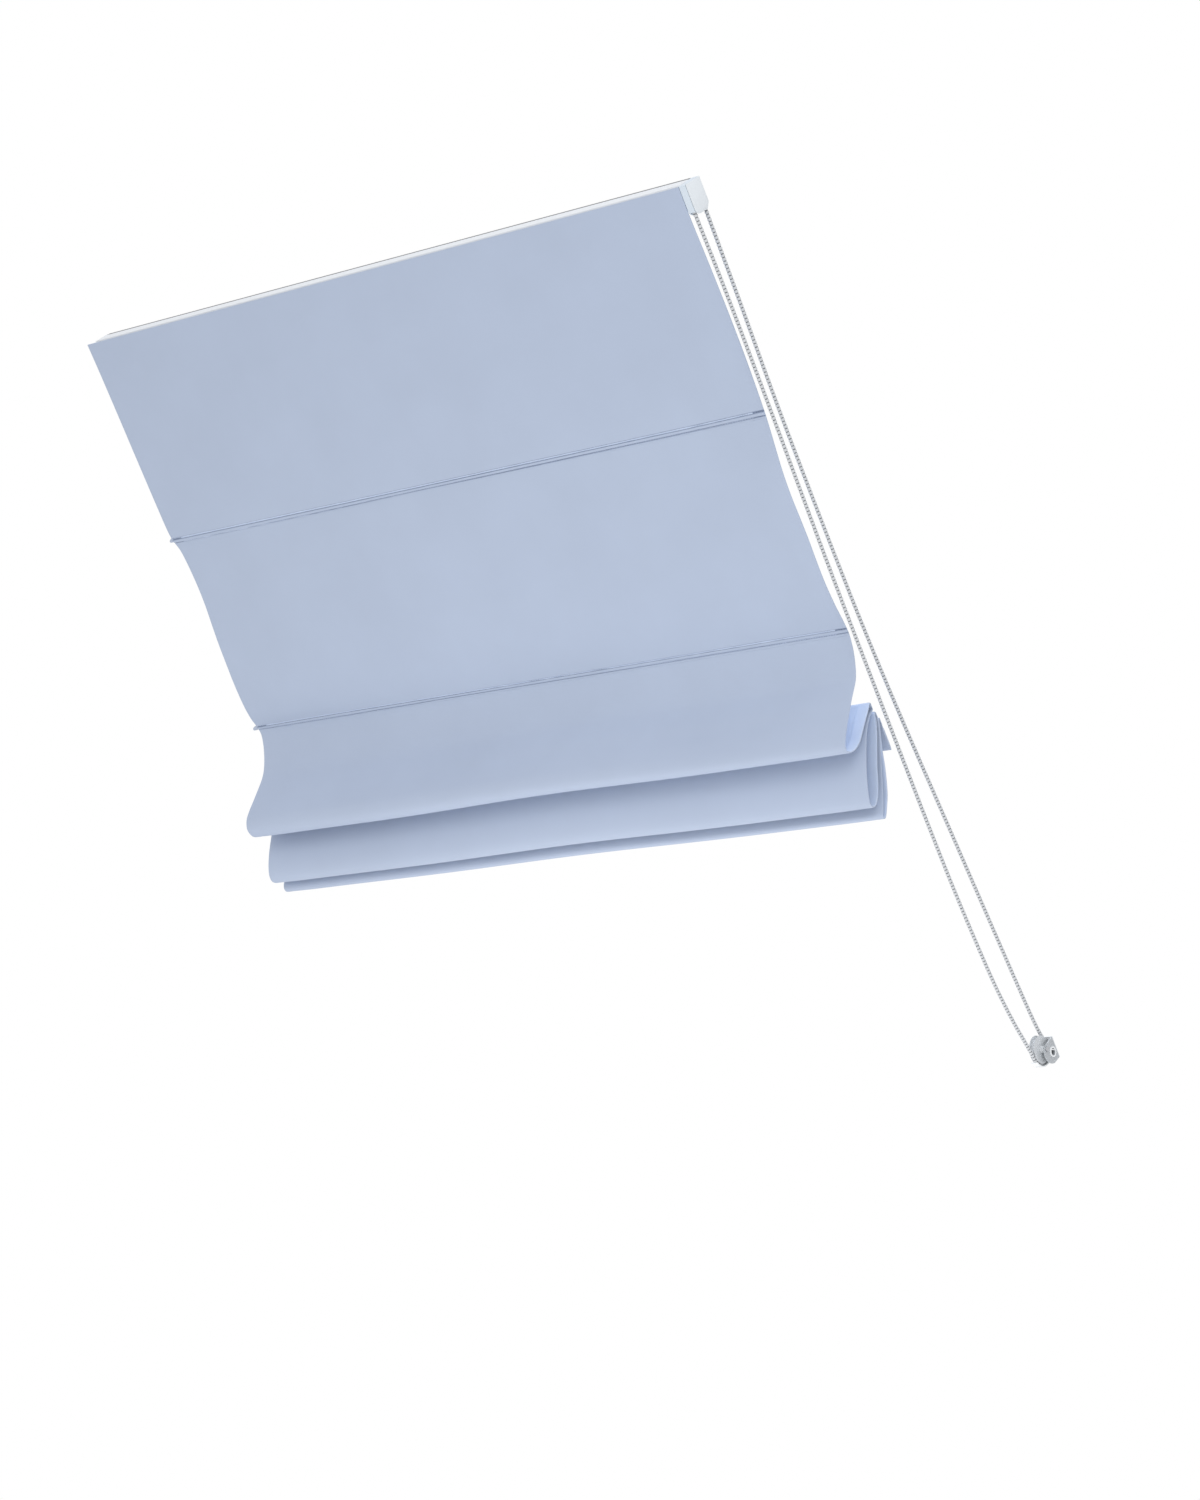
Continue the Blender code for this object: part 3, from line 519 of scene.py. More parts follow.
S5 = [(632.3, 33.4), (632.6, 32.6), (634.4, 32.5), (637, 32.5), (640.5, 32.5)]


def spans(parts):
    """The smooth curve through all the parts, cut where each part ends."""
    pts = [p for part in parts for p in part]
    fine = catmull(pts, 12)
    cuts, k = [], 0
    for part in parts:
        k += len(part)
        cuts.append((k - 1) * 12)
    return fine, cuts


# parts end where a strip begins or ends: head | panel 1 | strip 1 | panel 2 | strip 2 | loop 3 | ...
left, lcut = spans([HEAD, L1 + L1S[:1], L1S[1:], L2 + L2S[:1], L2S[1:], L3, S3, L4, S4, L5, S5])
rght, rcut = spans([HEAD, R1 + R1S[:1], R1S[1:], R2 + R2S[:1], R2S[1:], R3, S3, R4, S4, R5, S5])


def stations(length, lo, hi, step):
    """Distances along a part: fine near a seam at its start or end, and then step by step."""
    fine = 0.7
    a = np.arange(0, lo, fine) if lo else np.array([0.0])
    b = length - np.arange(0, hi, fine)[::-1] if hi else np.array([length])
    k = max(1, math.ceil((b[0] - a[-1]) / step))
    return np.unique(np.round(np.concatenate([a, np.linspace(a[-1], b[0], k + 1), b]), 4))


rows_l, rows_r, tags, arc_at = [], [], [], []
total = 0.0
kinds = [("head", 0, 0, 3.0), ("p1", 0, 14, 4.5), ("s1", 9, 0, 0.5), ("p2", 14, 14, 4.5), ("s2", 9, 0, 0.5),
         ("l3", 14, 9, 2.2), ("s3", 9, 0, 0.5), ("l4", 9, 9, 2.2), ("s4", 9, 0, 0.5), ("l5", 9, 9, 2.2), ("s5", 9, 0, 0.5)]
lo_l = lo_r = 0
for (tag, lo, hi, step), cl, cr in zip(kinds, lcut, rcut):
    pl, pr = left[lo_l : cl + 1], rght[lo_r : cr + 1]
    ll, lr = along(pl)[-1], along(pr)[-1]
    st = stations(lr, lo, hi, step)
    if tags:
        st = st[1:]
    rows_l.append(at(pl, st / lr * ll))
    rows_r.append(at(pr, st))
    tags += [tag] * len(st)
    arc_at.append(total + st)
    total += (ll + lr) / 2
    lo_l, lo_r = cl, cr
rows_l, rows_r, arc_at = np.vstack(rows_l), np.vstack(rows_r), np.concatenate(arc_at)
tags = np.array(tags)
flat_length = total

edge = [0, 0.8, 2.2, 4.5, 8, 12, 14.2, 15.0, 15.8, 18, 22, 27, 33, 39]
cols = np.array(edge + list(np.linspace(45, 855, 137)) + [900 - e for e in edge[::-1]])
U = cols / 900.0
XS = cols - 450.0
R, C = len(rows_l), len(XS)
u = U[None, :, None]
mix = rows_l[:, None, :] * (1 - u) + rows_r[:, None, :] * u  # (rows, columns, (s, n))
S, N = mix[..., 0].copy(), mix[..., 1].copy()
ul = U[None, :]

# flat panels: the belly of the cloth, and each edge's own line near that edge
for tag, s0, s1, belly in (("p1", 30.0, 260.0, 3.2), ("p2", 268.0, 523.0, 5.4)):
    k = tags == tag
    t = (rows_r[k, 0] - s0) / (s1 - s0)
    t = t[:, None]
    a = N[k][0][None, :]
    b = N[k][-1][None, :]
    middle = a * (1 - t) + b * t + belly * np.sin(np.pi * np.clip(t, 0, 1)) ** 0.9
    middle = middle + 0.7 * np.sin(2 * np.pi * (1.25 * ul + 0.55 * t + 0.1)) * np.sin(np.pi * np.clip(t, 0, 1))
    wl = smoothstep(0.34, 0.0, ul)
    wr = 0.30 * smoothstep(0.75, 0.96, ul) + 0.70 * smoothstep(0.945, 1.0, ul)
    nl, nr = rows_l[k, 1][:, None], rows_r[k, 1][:, None]
    N[k] = middle * (1 - wl) * (1 - wr) + nl * wl * (1 - wr) + nr * wr

# the hanging loops wave gently along their width
for tag, size in (("l3", 1.6), ("l4", 1.1), ("l5", 0.9)):
    k = tags == tag
    d = arc_at[k] - arc_at[k][0]
    t = (d / d[-1])[:, None]
    lift = np.sin(np.pi * t) ** 1.2
    wave = np.sin(2 * np.pi * (1.1 * ul + 0.15)) + 0.5 * np.sin(2 * np.pi * (2.3 * ul + 0.4 + 0.25 * t))
    fade = smoothstep(0, 0.06, ul) * smoothstep(1, 0.94, ul)
    S[k] += size * lift * wave * fade * 0.8
    N[k] += size * lift * wave * fade * 0.25

mid = np.stack([np.broadcast_to(XS, (R, C)), S, N], -1)


def unit_normals(g):
    a = np.gradient(g, axis=0)
    b = np.gradient(g, axis=1)
    n = np.cross(b, a)
    n /= np.maximum(np.linalg.norm(n, axis=-1, keepdims=True), 1e-9)
    return n


nrm = unit_normals(mid)
if nrm[5, C // 2, 2] < 0:
    nrm = -nrm

# the two sewn lines of a rod, in mm from its middle: they drift up the cloth towards the right end
UP_1 = ((0.1, 0.3, 0.5, 0.7, 0.9, 1.0), (-2.7, -2.7, -3.0, -3.6, -4.2, -5.0))
LOW_1 = ((0.1, 0.27, 0.45, 0.65, 0.85, 1.0), (3.2, 2.7, 1.8, 1.5, 1.0, 0.5))
UP_2 = ((0.02, 0.1, 0.2, 0.33, 0.45, 0.6, 0.75, 0.9), (-2.7, -3.3, -3.6, -3.4, -4.0, -4.6, -4.9, -5.8))
LOW_2 = ((0.15, 0.25, 0.35, 0.65, 0.75, 0.9, 1.0), (1.7, 1.2, 0.6, 0.6, 0.2, 0.0, -0.2))


def seam_lines(k, across_):
    """Where rod k's upper and lower lines lie, how deep they are drawn in, and their half widths."""
    one = np.ones_like(across_)
    if k > 2:
        return (-2.7 * one, 2.5 * one), (0.62, 0.78), (0.75, 0.8)
    a, b = (UP_1, LOW_1) if k == 1 else (UP_2, LOW_2)
    return (np.interp(across_, *a), np.interp(across_, *b)), (2.2 - 0.8 * across_, 0.85 + 0.45 * across_), (0.85, 0.75)


# the face: two rows of stitching at each rod, a soft ridge between them, and small puckers
strip_row = {}
face = np.zeros((R, C))
puck = (np.sin(XS / 5.1 + 0.4) + 0.8 * np.sin(XS / 8.3 + 2.0) + 0.6 * np.sin(XS / 14.9 + 1.1))[None, :]
for k in range(1, 6):
    i0 = np.flatnonzero(tags == f"s{k}")[0]
    i1 = np.flatnonzero(tags == f"s{k}")[-1]
    centre = (arc_at[i0] + arc_at[i1]) / 2
    d = (arc_at - centre)[:, None]
    for g, depth, width in zip(*seam_lines(k, U)):
        face -= depth * np.exp(-(((d - g) / width) ** 2))
    face += 0.2 * np.exp(-(((d - sum(seam_lines(k, U)[0]) / 2) / 1.6) ** 2))
    reach = np.where(d > 0, 9.0, 6.0)
    away = np.clip(np.abs(d) - 2.6, 0, None)
    soft = np.exp(-away / reach) * (np.abs(d) > 2.6) * smoothstep(40, 20, np.abs(d))
    if k <= 3:
        face -= np.where(d > 0, 0.55, 0.25) * soft
        face += 0.10 * puck * np.exp(-away / 5.0) * (np.abs(d) > 2.6) * smoothstep(30, 15, np.abs(d))
    strip_row[k] = (i0, i1, centre)

# painted shade along the sewn lines of the two upper seams: the cloth rows under each line take darker copies of the
# cloth colour, graded by how much of the row the line covers
seam_shade_marks = np.zeros((R - 1, C - 1), np.int32)
row_a, row_b = arc_at[:-1, None], arc_at[1:, None]
for k, halves in ((1, (1.4, 0.6)), (2, (1.2, 0.35))):
    cover = np.zeros((R - 1, C - 1))
    for g, w in zip(seam_lines(k, (U[:-1] + U[1:]) / 2)[0], halves):
        m = strip_row[k][2] + g
        cover += np.clip(np.minimum(row_b, m + w) - np.maximum(row_a, m - w), 0, None) / (row_b - row_a)
    shade = np.round(np.clip(cover, 0, 1) * len(SEAM_SHADE_CLOTH)).astype(np.int32)
    seam_shade_marks[shade > 0] = shade[shade > 0] + 1

T = 0.5
fold = smoothstep(15.6, 14.6, np.minimum(cols, 900 - cols))[None, :]
round_off = 1 - 0.55 * np.exp(-(np.minimum(cols, 900 - cols) / 0.7) ** 2)[None, :]
side_seam = 0.16 * np.exp(-(((np.minimum(cols, 900 - cols) - 12.6) / 0.9) ** 2))[None, :]
frontg = mid + nrm * ((T * round_off + face - side_seam)[..., None])
backg = mid - nrm * ((T * round_off + 0.75 * fold)[..., None])
uv_all = np.stack([np.broadcast_to(cols / 1000.0, (R, C)), np.broadcast_to(arc_at[:, None] / 1000.0, (R, C))], -1)


def row_near(tag, frac=None, s=None):
    k = np.flatnonzero(tags == tag)
    if s is not None:
        return int(k[np.argmin(np.abs(rows_r[k, 0] - s))])
    d = arc_at[k] - arc_at[k][0]
    return int(k[np.argmin(np.abs(d - frac * d[-1]))])


def strip_mid(k):
    i0, i1, centre = strip_row[k]
    return int(i0 + np.argmin(np.abs(arc_at[i0 : i1 + 1] - centre)))


def P(s, n):
    return tuple(W(0.0, s, n))


def perp(k, a, b):
    """The line across loop k's bottom, from a mm before its crease to b mm after."""
    s0, n0 = ROD[k - 1]
    s1, n1 = ROD[k]
    tip = Vector(TIP[k])
    p = (Vector((s0 + 4, n0 + 0.6)) - tip).normalized()
    q = (Vector((s1 - 4, n1 + 0.6)) - tip).normalized()
    v = (q - p).normalized()
    return P(*(tip + v * a)), P(*(tip + v * b))


cuts = [0, row_near("p1", s=87.5), row_near("p1", s=202.5), strip_mid(1), row_near("p2", s=332), row_near("p2", s=459),
        strip_mid(2)]
plan = [("head_cloth", "rail_frame", "panel_1_upper", P(22, 29.1), P(40, 29.1), ["fabric_head", "panel_1_upper"]),
        ("panel_1_middle", "panel_1_upper", "panel_1_lower", P(120, 27.9), P(170, 27.9), ["panel_1_lower"]),
        ("panel_1_foot", "panel_1_lower", "rod_set_1", P(243, 29.1), P(261, 29.1), []),
        ("panel_2_head", "rod_set_1", "panel_2_upper", P(267, 29.1), P(286, 29.1), ["panel_2_upper"]),
        ("panel_2_middle", "panel_2_upper", "panel_2_lower", P(370, 27.9), P(421, 27.9), ["panel_2_lower"]),
        ("panel_2_foot", "panel_2_lower", "rod_set_2", P(506, 29.1), P(524, 29.1), [])]
across = {3: (-7.0, 9.0), 4: (-6.0, 8.0), 5: (2.0, 8.0)}
fractions = {3: (0.27, 0.84), 4: (0.25, 0.75), 5: (0.27, 0.74)}
tops = {3: (P(530.5, 29), P(549, 29)), 4: (P(0, 39.5), P(0, 53)), 5: (P(0, 36.2), P(0, 46))}
lows = {3: (P(0, 53), P(0, 40.2)), 4: (P(0, 47), P(0, 36.8)), 5: (P(0, 43), P(0, 34.2))}
for k in (3, 4, 5):
    cuts += [row_near(f"l{k}", fractions[k][0]), row_near(f"l{k}", fractions[k][1]), strip_mid(k)]
    plan += [(f"loop_{k}_head", f"rod_set_{k - 1}", f"panel_{k}_front", *tops[k], [f"panel_{k}_front"]),
             (f"loop_{k}_bottom", f"panel_{k}_front", f"panel_{k}_rear", *perp(k, *across[k]), []),
             (f"loop_{k}_back", f"panel_{k}_rear", f"rod_set_{k}", *lows[k], [f"panel_{k}_rear"])]
for (name, a, b, start, end, stands), i0, i1 in zip(plan, cuts, cuts[1:]):
    f, g = frontg[i0 : i1 + 1], backg[i0 : i1 + 1]
    ob = shell(name, f, g, [CLOTH, PAINTED_LIGHT_BACK, *SEAM_SHADE_CLOTH], uv_all[i0 : i1 + 1].reshape(-1, 2), marks=seam_shade_marks[i0:i1])
    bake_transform(ob)
    if stands:
        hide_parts(*stands)

# the last strip and the hem, which holds the flat bar
i0 = strip_mid(5)
f, g = frontg[i0:], backg[i0:]
tail_s = np.array([642.0, 643.2, 644.2, 645.4, 647, 649.5, 653, 657, 661, 665, 667.8, 669.6, 670.9, 671.7, 672.0])
half = np.array([0.7, 0.75, 1.0, 1.7, 2.15, 2.3, 2.35, 2.35, 2.35, 2.3, 2.15, 1.85, 1.35, 0.8, 0.25])
line_n = mid[-1, :, 2]
pinch = (1 - 0.45 * np.exp(-(np.minimum(cols, 900 - cols) / 5.0) ** 2))[None, :]
ripple = 0.12 * np.sin(cols / 17.0)[None, :]
seam = 0.35 * np.exp(-(((tail_s - 643.4) / 0.7) ** 2))[:, None]
hx = np.broadcast_to(XS, (len(tail_s), C))
hs = np.broadcast_to(tail_s[:, None], (len(tail_s), C))
up_n = line_n[None, :] + half[:, None] * pinch + ripple * (half[:, None] > 1.5) - seam
dn_n = line_n[None, :] - half[:, None] * pinch
f = np.concatenate([f, np.stack([hx, hs, up_n], -1)])
g = np.concatenate([g, np.stack([hx, hs, dn_n], -1)])
a_t = np.concatenate([arc_at[i0:], arc_at[-1] + tail_s - 640.5])
uv = np.stack([np.broadcast_to(cols / 1000, (len(a_t), C)), np.broadcast_to(a_t[:, None] / 1000, (len(a_t), C))], -1)
hem = shell("hem_cloth", f, g, [CLOTH, PAINTED_LIGHT_BACK], uv.reshape(-1, 2))
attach(hem, "rod_set_5")
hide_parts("hem")


# ------------------------------------------------------------------ rods, pockets, rings, stitching
def stitches(name, lines, body, pitch=3.4, length=2.5, radius=0.24):
    """Short arched threads along lines of points in x, s, n."""
    verts, faces, base, sides = [], [], 0, 6
    ph = 2 * np.pi * np.arange(sides) / sides
    for line in lines:
        total_ = along(line)[-1]
        for d in np.arange(4.0, total_ - 4.0, pitch):
            q = at(line, np.linspace(d, d + length, 5))
            q[:, 2] += radius * np.array([-1.1, 0.35, 0.6, 0.35, -1.1])
            t = np.gradient(q, axis=0)
            t /= np.linalg.norm(t, axis=1)[:, None]
            sn = np.cross(t, np.broadcast_to([0.0, 0.0, 1.0], t.shape))
            sn /= np.linalg.norm(sn, axis=1)[:, None]
            bn = np.cross(t, sn)
            r = radius * np.array([0.55, 1, 1.05, 1, 0.55])
            for i in range(5):
                verts.append(q[i] + r[i] * (np.cos(ph)[:, None] * sn[i] + np.sin(ph)[:, None] * bn[i]))
            for i in range(4):
                for j in range(sides):
                    k = (j + 1) % sides
                    o = base + i * sides
                    faces.append((o + j, o + k, o + sides + k, o + sides + j))
            faces += [tuple(base + j for j in range(sides))[::-1], tuple(base + 4 * sides + j for j in range(sides))]
            base += 5 * sides
    ob = recalc(mesh_object(name, WA(np.vstack(verts)), faces, THREAD))
    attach(ob, body)
    return ob


def strip_line(k, line, proud):
    i0, i1, centre = strip_row[k]
    lo = max(i0 - 9, 0)
    hi = i1 + 9
    a = arc_at[lo:hi]
    g = frontg[lo:hi]
    offset = seam_lines(k, U)[0][line]
    out = np.stack([[np.interp(centre + offset[j], a, g[:, j, c]) for c in range(3)] for j in range(C)])
    out = out + nrm[strip_mid(k)] * proud
    return out[(XS > -448) & (XS < 448)]


def sleeve(k):
    """The pocket: cloth wrapped round the rod and sewn to the strip along two lines."""
    s, n = SEEN[k]
    rn = n - DROP
    i = strip_mid(k)
    back_n = backg[i, :, 2]
    xs = np.linspace(-448.6, 444.3, 121)
    bn = np.interp(xs, XS, back_n)
    rings_o, rings_i = [], []
    for j, x in enumerate(xs):
        wob = 0.10 * math.sin(x / 11.0) + 0.07 * math.sin(x / 4.7 + 1.0)
        top = bn[j] - 0.12
        out_pts, in_pts = [], []
        for r, dst, lift in ((2.75 + wob, out_pts, 0.0), (2.3, in_pts, -0.9)):
            for a in np.radians(np.linspace(-128, 128, 19)):  # 0 is straight back, away from the cloth
                dst.append((x, s + r * math.sin(a), rn - r * math.cos(a)))
            hw = 2.7 if lift == 0 else 1.5
            e0, e1 = dst[-1], dst[0]
            dst += [(x, (e0[1] + s + hw) / 2, (e0[2] + top + lift) / 2), (x, s + hw, top + lift), (x, s, top + lift * 0.5),
                    (x, s - hw, top + lift), (x, (e1[1] + s - hw) / 2, (e1[2] + top + lift) / 2)]
        rings_o.append(out_pts)
        rings_i.append(in_pts)
    o, q = np.array(rings_o), np.array(rings_i)
    r, c = o.shape[:2]
    verts = np.concatenate([o.reshape(-1, 3), q.reshape(-1, 3)])
    faces = []
    for base in (0, r * c):
        for i_ in range(r - 1):
            for j in range(c):
                kk = (j + 1) % c
                faces.append((base + i_ * c + j, base + i_ * c + kk, base + (i_ + 1) * c + kk, base + (i_ + 1) * c + j))
    for i_ in (0, r - 1):
        for j in range(c):
            kk = (j + 1) % c
            faces.append((i_ * c + j, i_ * c + kk, r * c + i_ * c + kk, r * c + i_ * c + j))
    uvs = np.stack([verts[:, 0] / 1000, (verts[:, 1] + verts[:, 2]) / 1000], -1)
    # the pocket takes the back's paler painted-light colour
    return recalc(mesh_object(f"rod_pocket_{k}_cloth", WA(verts), faces, PAINTED_LIGHT_BACK, 50, uvs))


def rod_end(k):
    """The soft plastic end on the rod: it narrows and droops a little past the cloth's edge."""
    s, n = SEEN[k]
    rings = []
    for x, r, d in ((-455.0, 2.05, 0.3), (-451.6, 2.4, 0.0), (-450.9, 2.75, 0.0), (-450.9, 3.05, 0.0), (-452.5, 3.05, 0.1),
                    (-454.5, 2.95, 0.35), (-456.5, 2.75, 0.7), (-458.3, 2.5, 1.1), (-459.6, 2.2, 1.45), (-460.5, 1.75, 1.7),
                    (-461.0, 1.2, 1.85), (-461.3, 0.55, 1.95), (-461.35, 0.02, 1.97)):
        rings.append([(x, s + d + r * math.sin(a), n - DROP + r * math.cos(a)) for a in 2 * np.pi * np.arange(28) / 28])
    return loft(f"rod_tip_{k}_finish", rings, TIP_BLUE, angle=50)


def torus(name, centre, axis, major, minor, mats, seg=40, sides=14):
    """A ring about an axis given in x, s, n."""
    ax = np.array(axis, float)
    ax /= np.linalg.norm(ax)
    h = np.array([1.0, 0, 0]) if abs(ax[0]) < 0.9 else np.array([0, 0, 1.0])
    e1 = np.cross(ax, h)
    e1 /= np.linalg.norm(e1)
    e2 = np.cross(ax, e1)
    rings = []
    for a in 2 * np.pi * np.arange(seg) / seg:
        d = math.cos(a) * e1 + math.sin(a) * e2
        rings.append([np.array(centre) + d * (major + minor * math.cos(b)) + ax * minor * math.sin(b)
                      for b in 2 * np.pi * np.arange(sides) / sides])
    return loft(name, rings, mats, closed=True, angle=None)


def turned(name, profile, centre, axis, mats, steps=40, angle=35):
    """A turned piece: profile is (radius, along) about an axis in x, s, n, closed on the axis."""
    ax = np.array(axis, float)
    ax /= np.linalg.norm(ax)
    h = np.array([1.0, 0, 0]) if abs(ax[0]) < 0.9 else np.array([0, 0, 1.0])
    e1 = np.cross(ax, h)
    e1 /= np.linalg.norm(e1)
    e2 = np.cross(ax, e1)
    rings = [[np.array(centre) + ax * z + r * (math.cos(a) * e1 + math.sin(a) * e2)
              for a in 2 * np.pi * np.arange(steps) / steps] for r, z in profile]
    return loft(name, rings, mats, closed=False, angle=angle)


def join(name, obs):
    """Several pieces made one, with the first one's materials."""
    verts, faces, mats, looks, base = [], [], [], [], 0
    for o in obs:
        me = o.data
        verts += [tuple(v.co) for v in me.vertices]
        for p in me.polygons:
            faces.append(tuple(v + base for v in p.vertices))
            mat = me.materials[p.material_index]
            if mat not in mats:
                mats.append(mat)
            looks.append(mats.index(mat))
        base += len(me.vertices)
        bpy.data.objects.remove(o)
    ob = mesh_object(name, verts, faces, mats, 40)
    ob.data.polygons.foreach_set("material_index", looks)
    return ob


for k in range(1, 6):
    s, n = SEEN[k]
    body = f"rod_set_{k}"
    back = n - 0.6
    pocket = sleeve(k)
    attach(pocket, body)
    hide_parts(f"rod_pocket_{k}")
    rings = []
    for i, x in enumerate(LIFT_X):
        c = (x, s, back - 10.9)
        rings.append(torus(f"r{i}", c, (0, 1, 0), 4.0, 0.85, NYLON))
        # the thread that ties the ring to the pocket
        for q in (-1.1, -0.35, 0.4, 1.15):
            pts = []
            for a in np.radians(np.linspace(0, 360, 15)[:-1]):
                pts.append((x + q + 0.25 * math.sin(a), s + 1.35 * math.sin(a), back - 6.9 + 1.6 * math.cos(a)))
            pts = np.array(pts)
            tube = []
            for i_ in range(len(pts)):
                t = pts[(i_ + 1) % len(pts)] - pts[i_ - 1]
                t /= np.linalg.norm(t)
                e1 = np.cross(t, [1.0, 0, 0])
                e1 /= np.linalg.norm(e1)
                e2 = np.cross(t, e1)
                tube.append([pts[i_] + 0.28 * (math.cos(b) * e1 + math.sin(b) * e2) for b in 2 * np.pi * np.arange(6) / 6])
            rings.append(loft("t", tube, THREAD, closed=True, angle=None))
    ring = join(f"cord_rings_{k}", rings)
    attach(ring, body)
    x0, x1 = -455.5, 444.0
    rodp = turned(f"rod_{k}_finish", [(0.02, 0), (1.6, 0), (2.0, 0.4), (2.0, 100), (2.0, 400), (2.0, 700), (2.0, x1 - x0 - 0.4),
                                      (1.6, x1 - x0), (0.02, x1 - x0)], (x0, s, n - DROP), (1, 0, 0), FIBRE, 24)
    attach(rodp, body)
    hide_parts(f"rod_{k}")
    tip = rod_end(k)
    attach(tip, body)
    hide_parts(f"rod_tip_{k}")
    stitches(f"stitching_{k}", [strip_line(k, 0, 0.10), strip_line(k, 1, 0.10)], body)

stitches("hem_stitching", [np.stack([XS[(XS > -448) & (XS < 448)], np.full(((XS > -448) & (XS < 448)).sum(), 643.4),
                                     (up_n[1] + 0.1)[(XS > -448) & (XS < 448)]], -1)], "rod_set_5")

# ------------------------------------------------------------------ rail, its ends and the housing
for name_, width, mat, slot_, body in (
    ("head_rail", 0.25, RAIL, "rail_white", "rail_frame"),
    ("rail_cover", 0.2, RAIL, "rail_white", "rail_frame"),
    ("end_cap_left", 0.0, WHITE, "plastic_white", "rail_frame"),
    ("chain_housing", 0.35, HOUSING, "plastic_white", "rail_frame"),
    ("housing_cover", 0.0, CAP_FACE, "plastic_white", "rail_frame"),
    ("tensioner_body", 0.3, CLEAR, "clear_plastic", "rail_frame"),
    ("bottom_bar", 0.0, ALU, "aluminium", "rod_set_5"),
):
    ob = detailed(name_, width, mat)
    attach(ob, body)
    if name_ == "bottom_bar":
        bar = ob
    if name_ == "tensioner_body":
        tens_body = ob
# painted light on the tensioner body: the far cheek gets a darker painted shade; the guide's lip, the boss's ring, the
# web and the faces next to the wall plate get a lighter painted highlight; and the recess in the boss gets a near-black
# painted shade
me = tens_body.data
for mat in (CLEAR_PAINTED_SHADE, CLEAR_PAINTED_HIGHLIGHT, RECESS_PAINTED_SHADE):
    me.materials.append(mat)
for p in me.polygons:
    c = p.center * 1000
    x, s, n = c.x, 15 + CT * c.y - ST * c.z, -ST * c.y - CT * c.z
    boss, hub = math.hypot(s - 1080.5, n - 10.9), math.hypot(s - TENS[1], n - TENS[2])
    if x > 492.5 and boss < 4.0 and p.normal.x > 0.5 and x < 493.5:
        p.material_index = 3
    elif x > 494.2 and boss < 6.6:
        p.material_index = 2
    elif abs(x - TENS[0]) < 4.4 and (hub > 18.2 or abs(p.normal.x) > 0.9) or s > 1089.5 and 476 < x < 492 or n < 1.6:
        p.material_index = 2
    elif x < 478:
        p.material_index = 1
tw = turned("tensioner_wheel_finish", [(2.5, 7.6), (3.9, 7.6), (4.2, 7.3), (4.2, 4.3), (4.6, 3.7), (15.8, 3.5), (16.2, 3.42), (16.35, 3.2),
                                       (16.25, 2.92), (13.6, 2.8), (13.05, 2.5), (13.05, -2.5), (13.6, -2.8), (16.25, -2.92), (16.35, -3.2),
                                       (16.2, -3.42), (15.8, -3.5), (4.6, -3.7), (4.2, -4.3), (4.2, -7.3), (3.9, -7.6), (2.5, -7.6),
                                       (2.5, 7.6)], TENS, (1, 0, 0), CLEAR_WHEEL, 64)
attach(tw, "idler")
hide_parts("tensioner_wheel")

# ------------------------------------------------------------------ the pieces kept from the frame
keep = {"rail_screw_1": STEEL, "rail_screw_2": STEEL, "rail_screw_3": STEEL, "rail_screw_4": STEEL,
        "tensioner_screw_1": STEEL, "tensioner_screw_2": STEEL, "tensioner_axle": STEEL, "clutch_spring": STEEL,
        "drive_shaft": ALU, "cord_spool_1": NYLON, "cord_spool_2": NYLON, "cord_spool_3": NYLON,
        "spool_cradle_1": NYLON, "spool_cradle_2": NYLON, "spool_cradle_3": NYLON, "shaft_bush": NYLON,
        "chain_sprocket": NYLON, "hook_tape": TAPE_PAINTED_SHADE}
for name_, mat in keep.items():
    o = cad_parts[name_]
    if not o.material_slots:
        o.data.materials.append(mat)
    for sl in o.material_slots:
        sl.material = mat

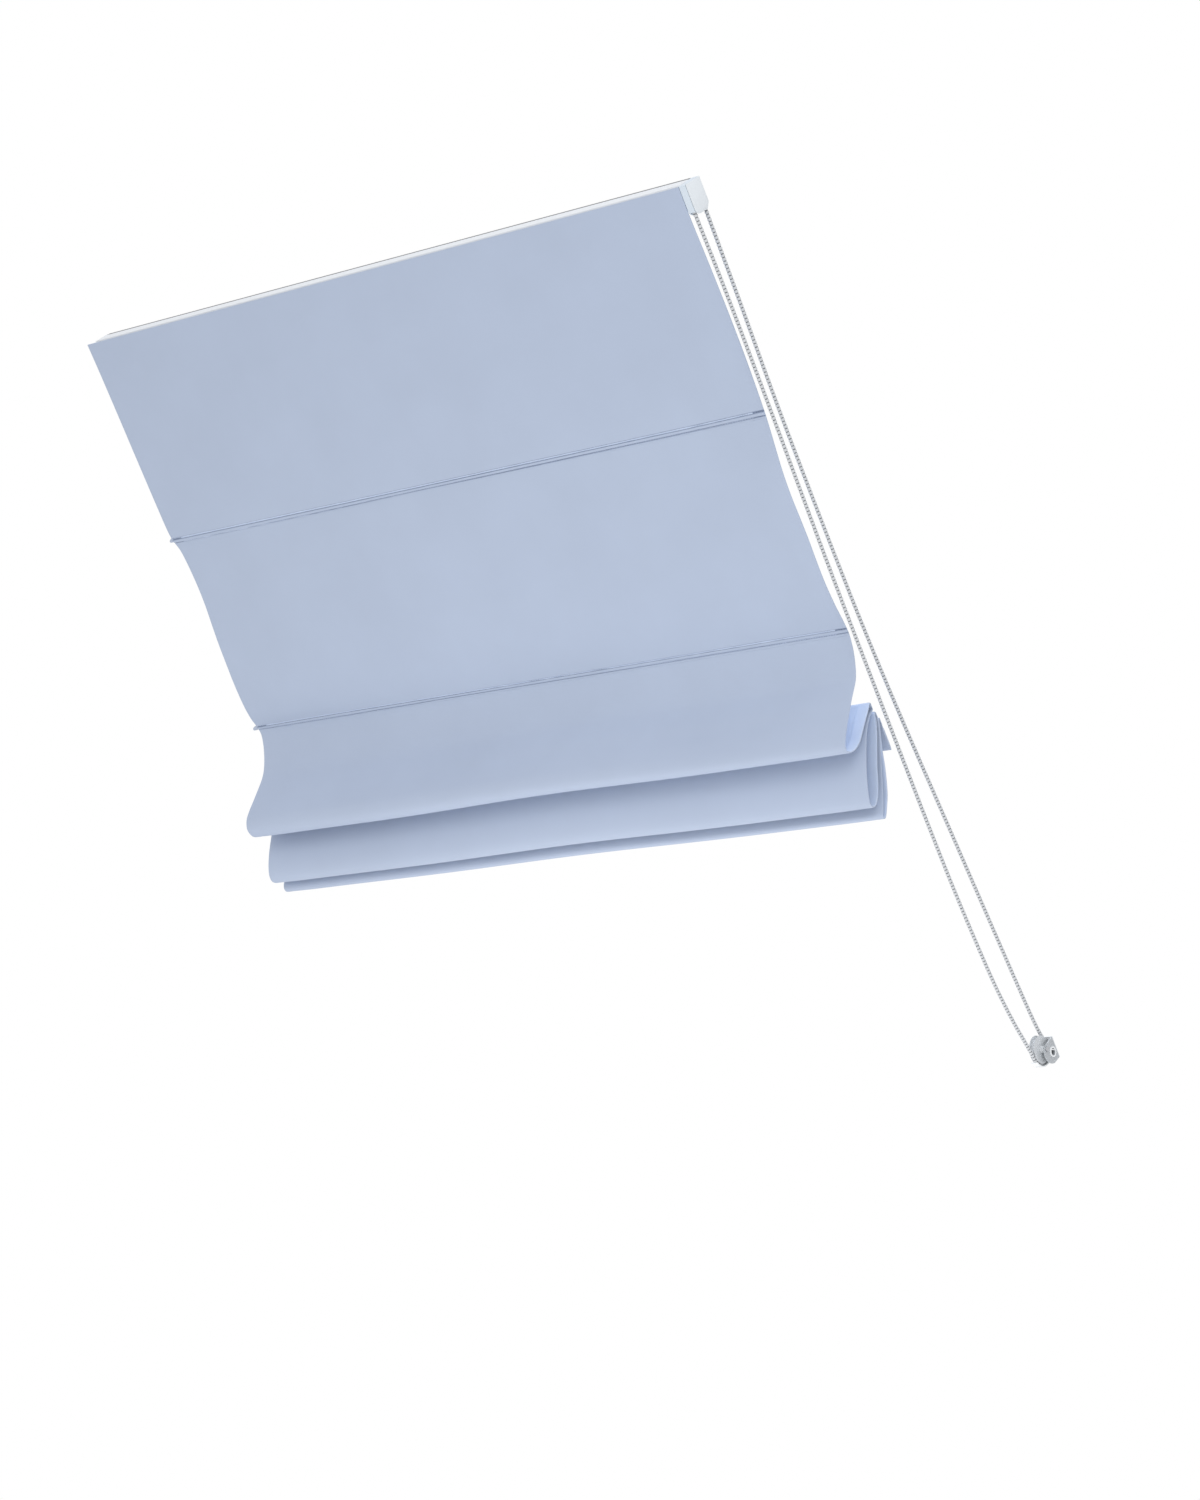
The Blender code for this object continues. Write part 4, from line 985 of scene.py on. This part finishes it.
# ------------------------------------------------------------------ light, floor
scene.view_settings.view_transform = "Standard"
world = bpy.data.worlds.new("studio")
scene.world = world
world.use_nodes = True
wt = world.node_tree
bg = wt.nodes["Background"]
geo_ = wt.nodes.new("ShaderNodeTexCoord")
sep = wt.nodes.new("ShaderNodeSeparateXYZ")
link(wt, geo_.outputs["Generated"], sep.inputs[0])
ramp = wt.nodes.new("ShaderNodeValToRGB")
mr = wt.nodes.new("ShaderNodeMapRange")
mr.inputs["From Min"].default_value, mr.inputs["From Max"].default_value = -1.0, 1.0
link(wt, sep.outputs["Z"], mr.inputs["Value"])
link(wt, mr.outputs["Result"], ramp.inputs["Fac"])
ramp.color_ramp.elements[0].color = (0.76, 0.76, 0.76, 1)
ramp.color_ramp.elements[1].color = (0.88, 0.90, 0.94, 1)
for place_, grey_ in ((0.25, 0.60), (0.5, 0.84)):
    stop_ = ramp.color_ramp.elements.new(place_)
    stop_.color = (grey_, grey_, grey_ * 1.01, 1)
lp = wt.nodes.new("ShaderNodeLightPath")
mixw = wt.nodes.new("ShaderNodeMix")
mixw.data_type = "RGBA"
link(wt, lp.outputs["Is Camera Ray"], mixw.inputs["Factor"])
link(wt, ramp.outputs["Color"], mixw.inputs[6])
mixw.inputs[7].default_value = (1, 1, 1, 1)
link(wt, mixw.outputs[2], bg.inputs["Color"])
bg.inputs["Strength"].default_value = 1.0


def area(name, place, aim, size, watts, colour=(1, 1, 1)):
    lamp = bpy.data.lights.new(name, "AREA")
    lamp.shape, lamp.size, lamp.size_y = "RECTANGLE", size[0], size[1]
    lamp.energy, lamp.color = watts, colour
    ob = bpy.data.objects.new(name, lamp)
    scene.collection.objects.link(ob)
    ob.location = place
    ob.rotation_mode = "QUATERNION"
    ob.rotation_quaternion = (Vector(aim) - Vector(place)).to_track_quat("-Z", "Y")
    return ob


middle = W(0, 450, 30)
area("key", W(150, 1300, 760), W(0, 590, 60), (0.8, 0.8), 3.8)
back = area("back", W(60, 560, -330), W(60, 590, 40), (1.0, 0.5), 2.0, (0.92, 0.97, 1.07))
back.visible_camera = False
area("side", W(2100, -1400, 1300), W(200, 450, 50), (1.3, 1.3), 18.0)

bm = bmesh.new()
bmesh.ops.create_grid(bm, x_segments=1, y_segments=1, size=4.0)
fm = bpy.data.meshes.new("floor")
bm.to_mesh(fm)
bm.free()
floor = bpy.data.objects.new("floor", fm)
floor.location = (0, 0, -3.0)
scene.collection.objects.link(floor)
fmat, ftree, fb = material("floor", (0.86, 0.86, 0.86), 0.8)
fm.materials.append(fmat)
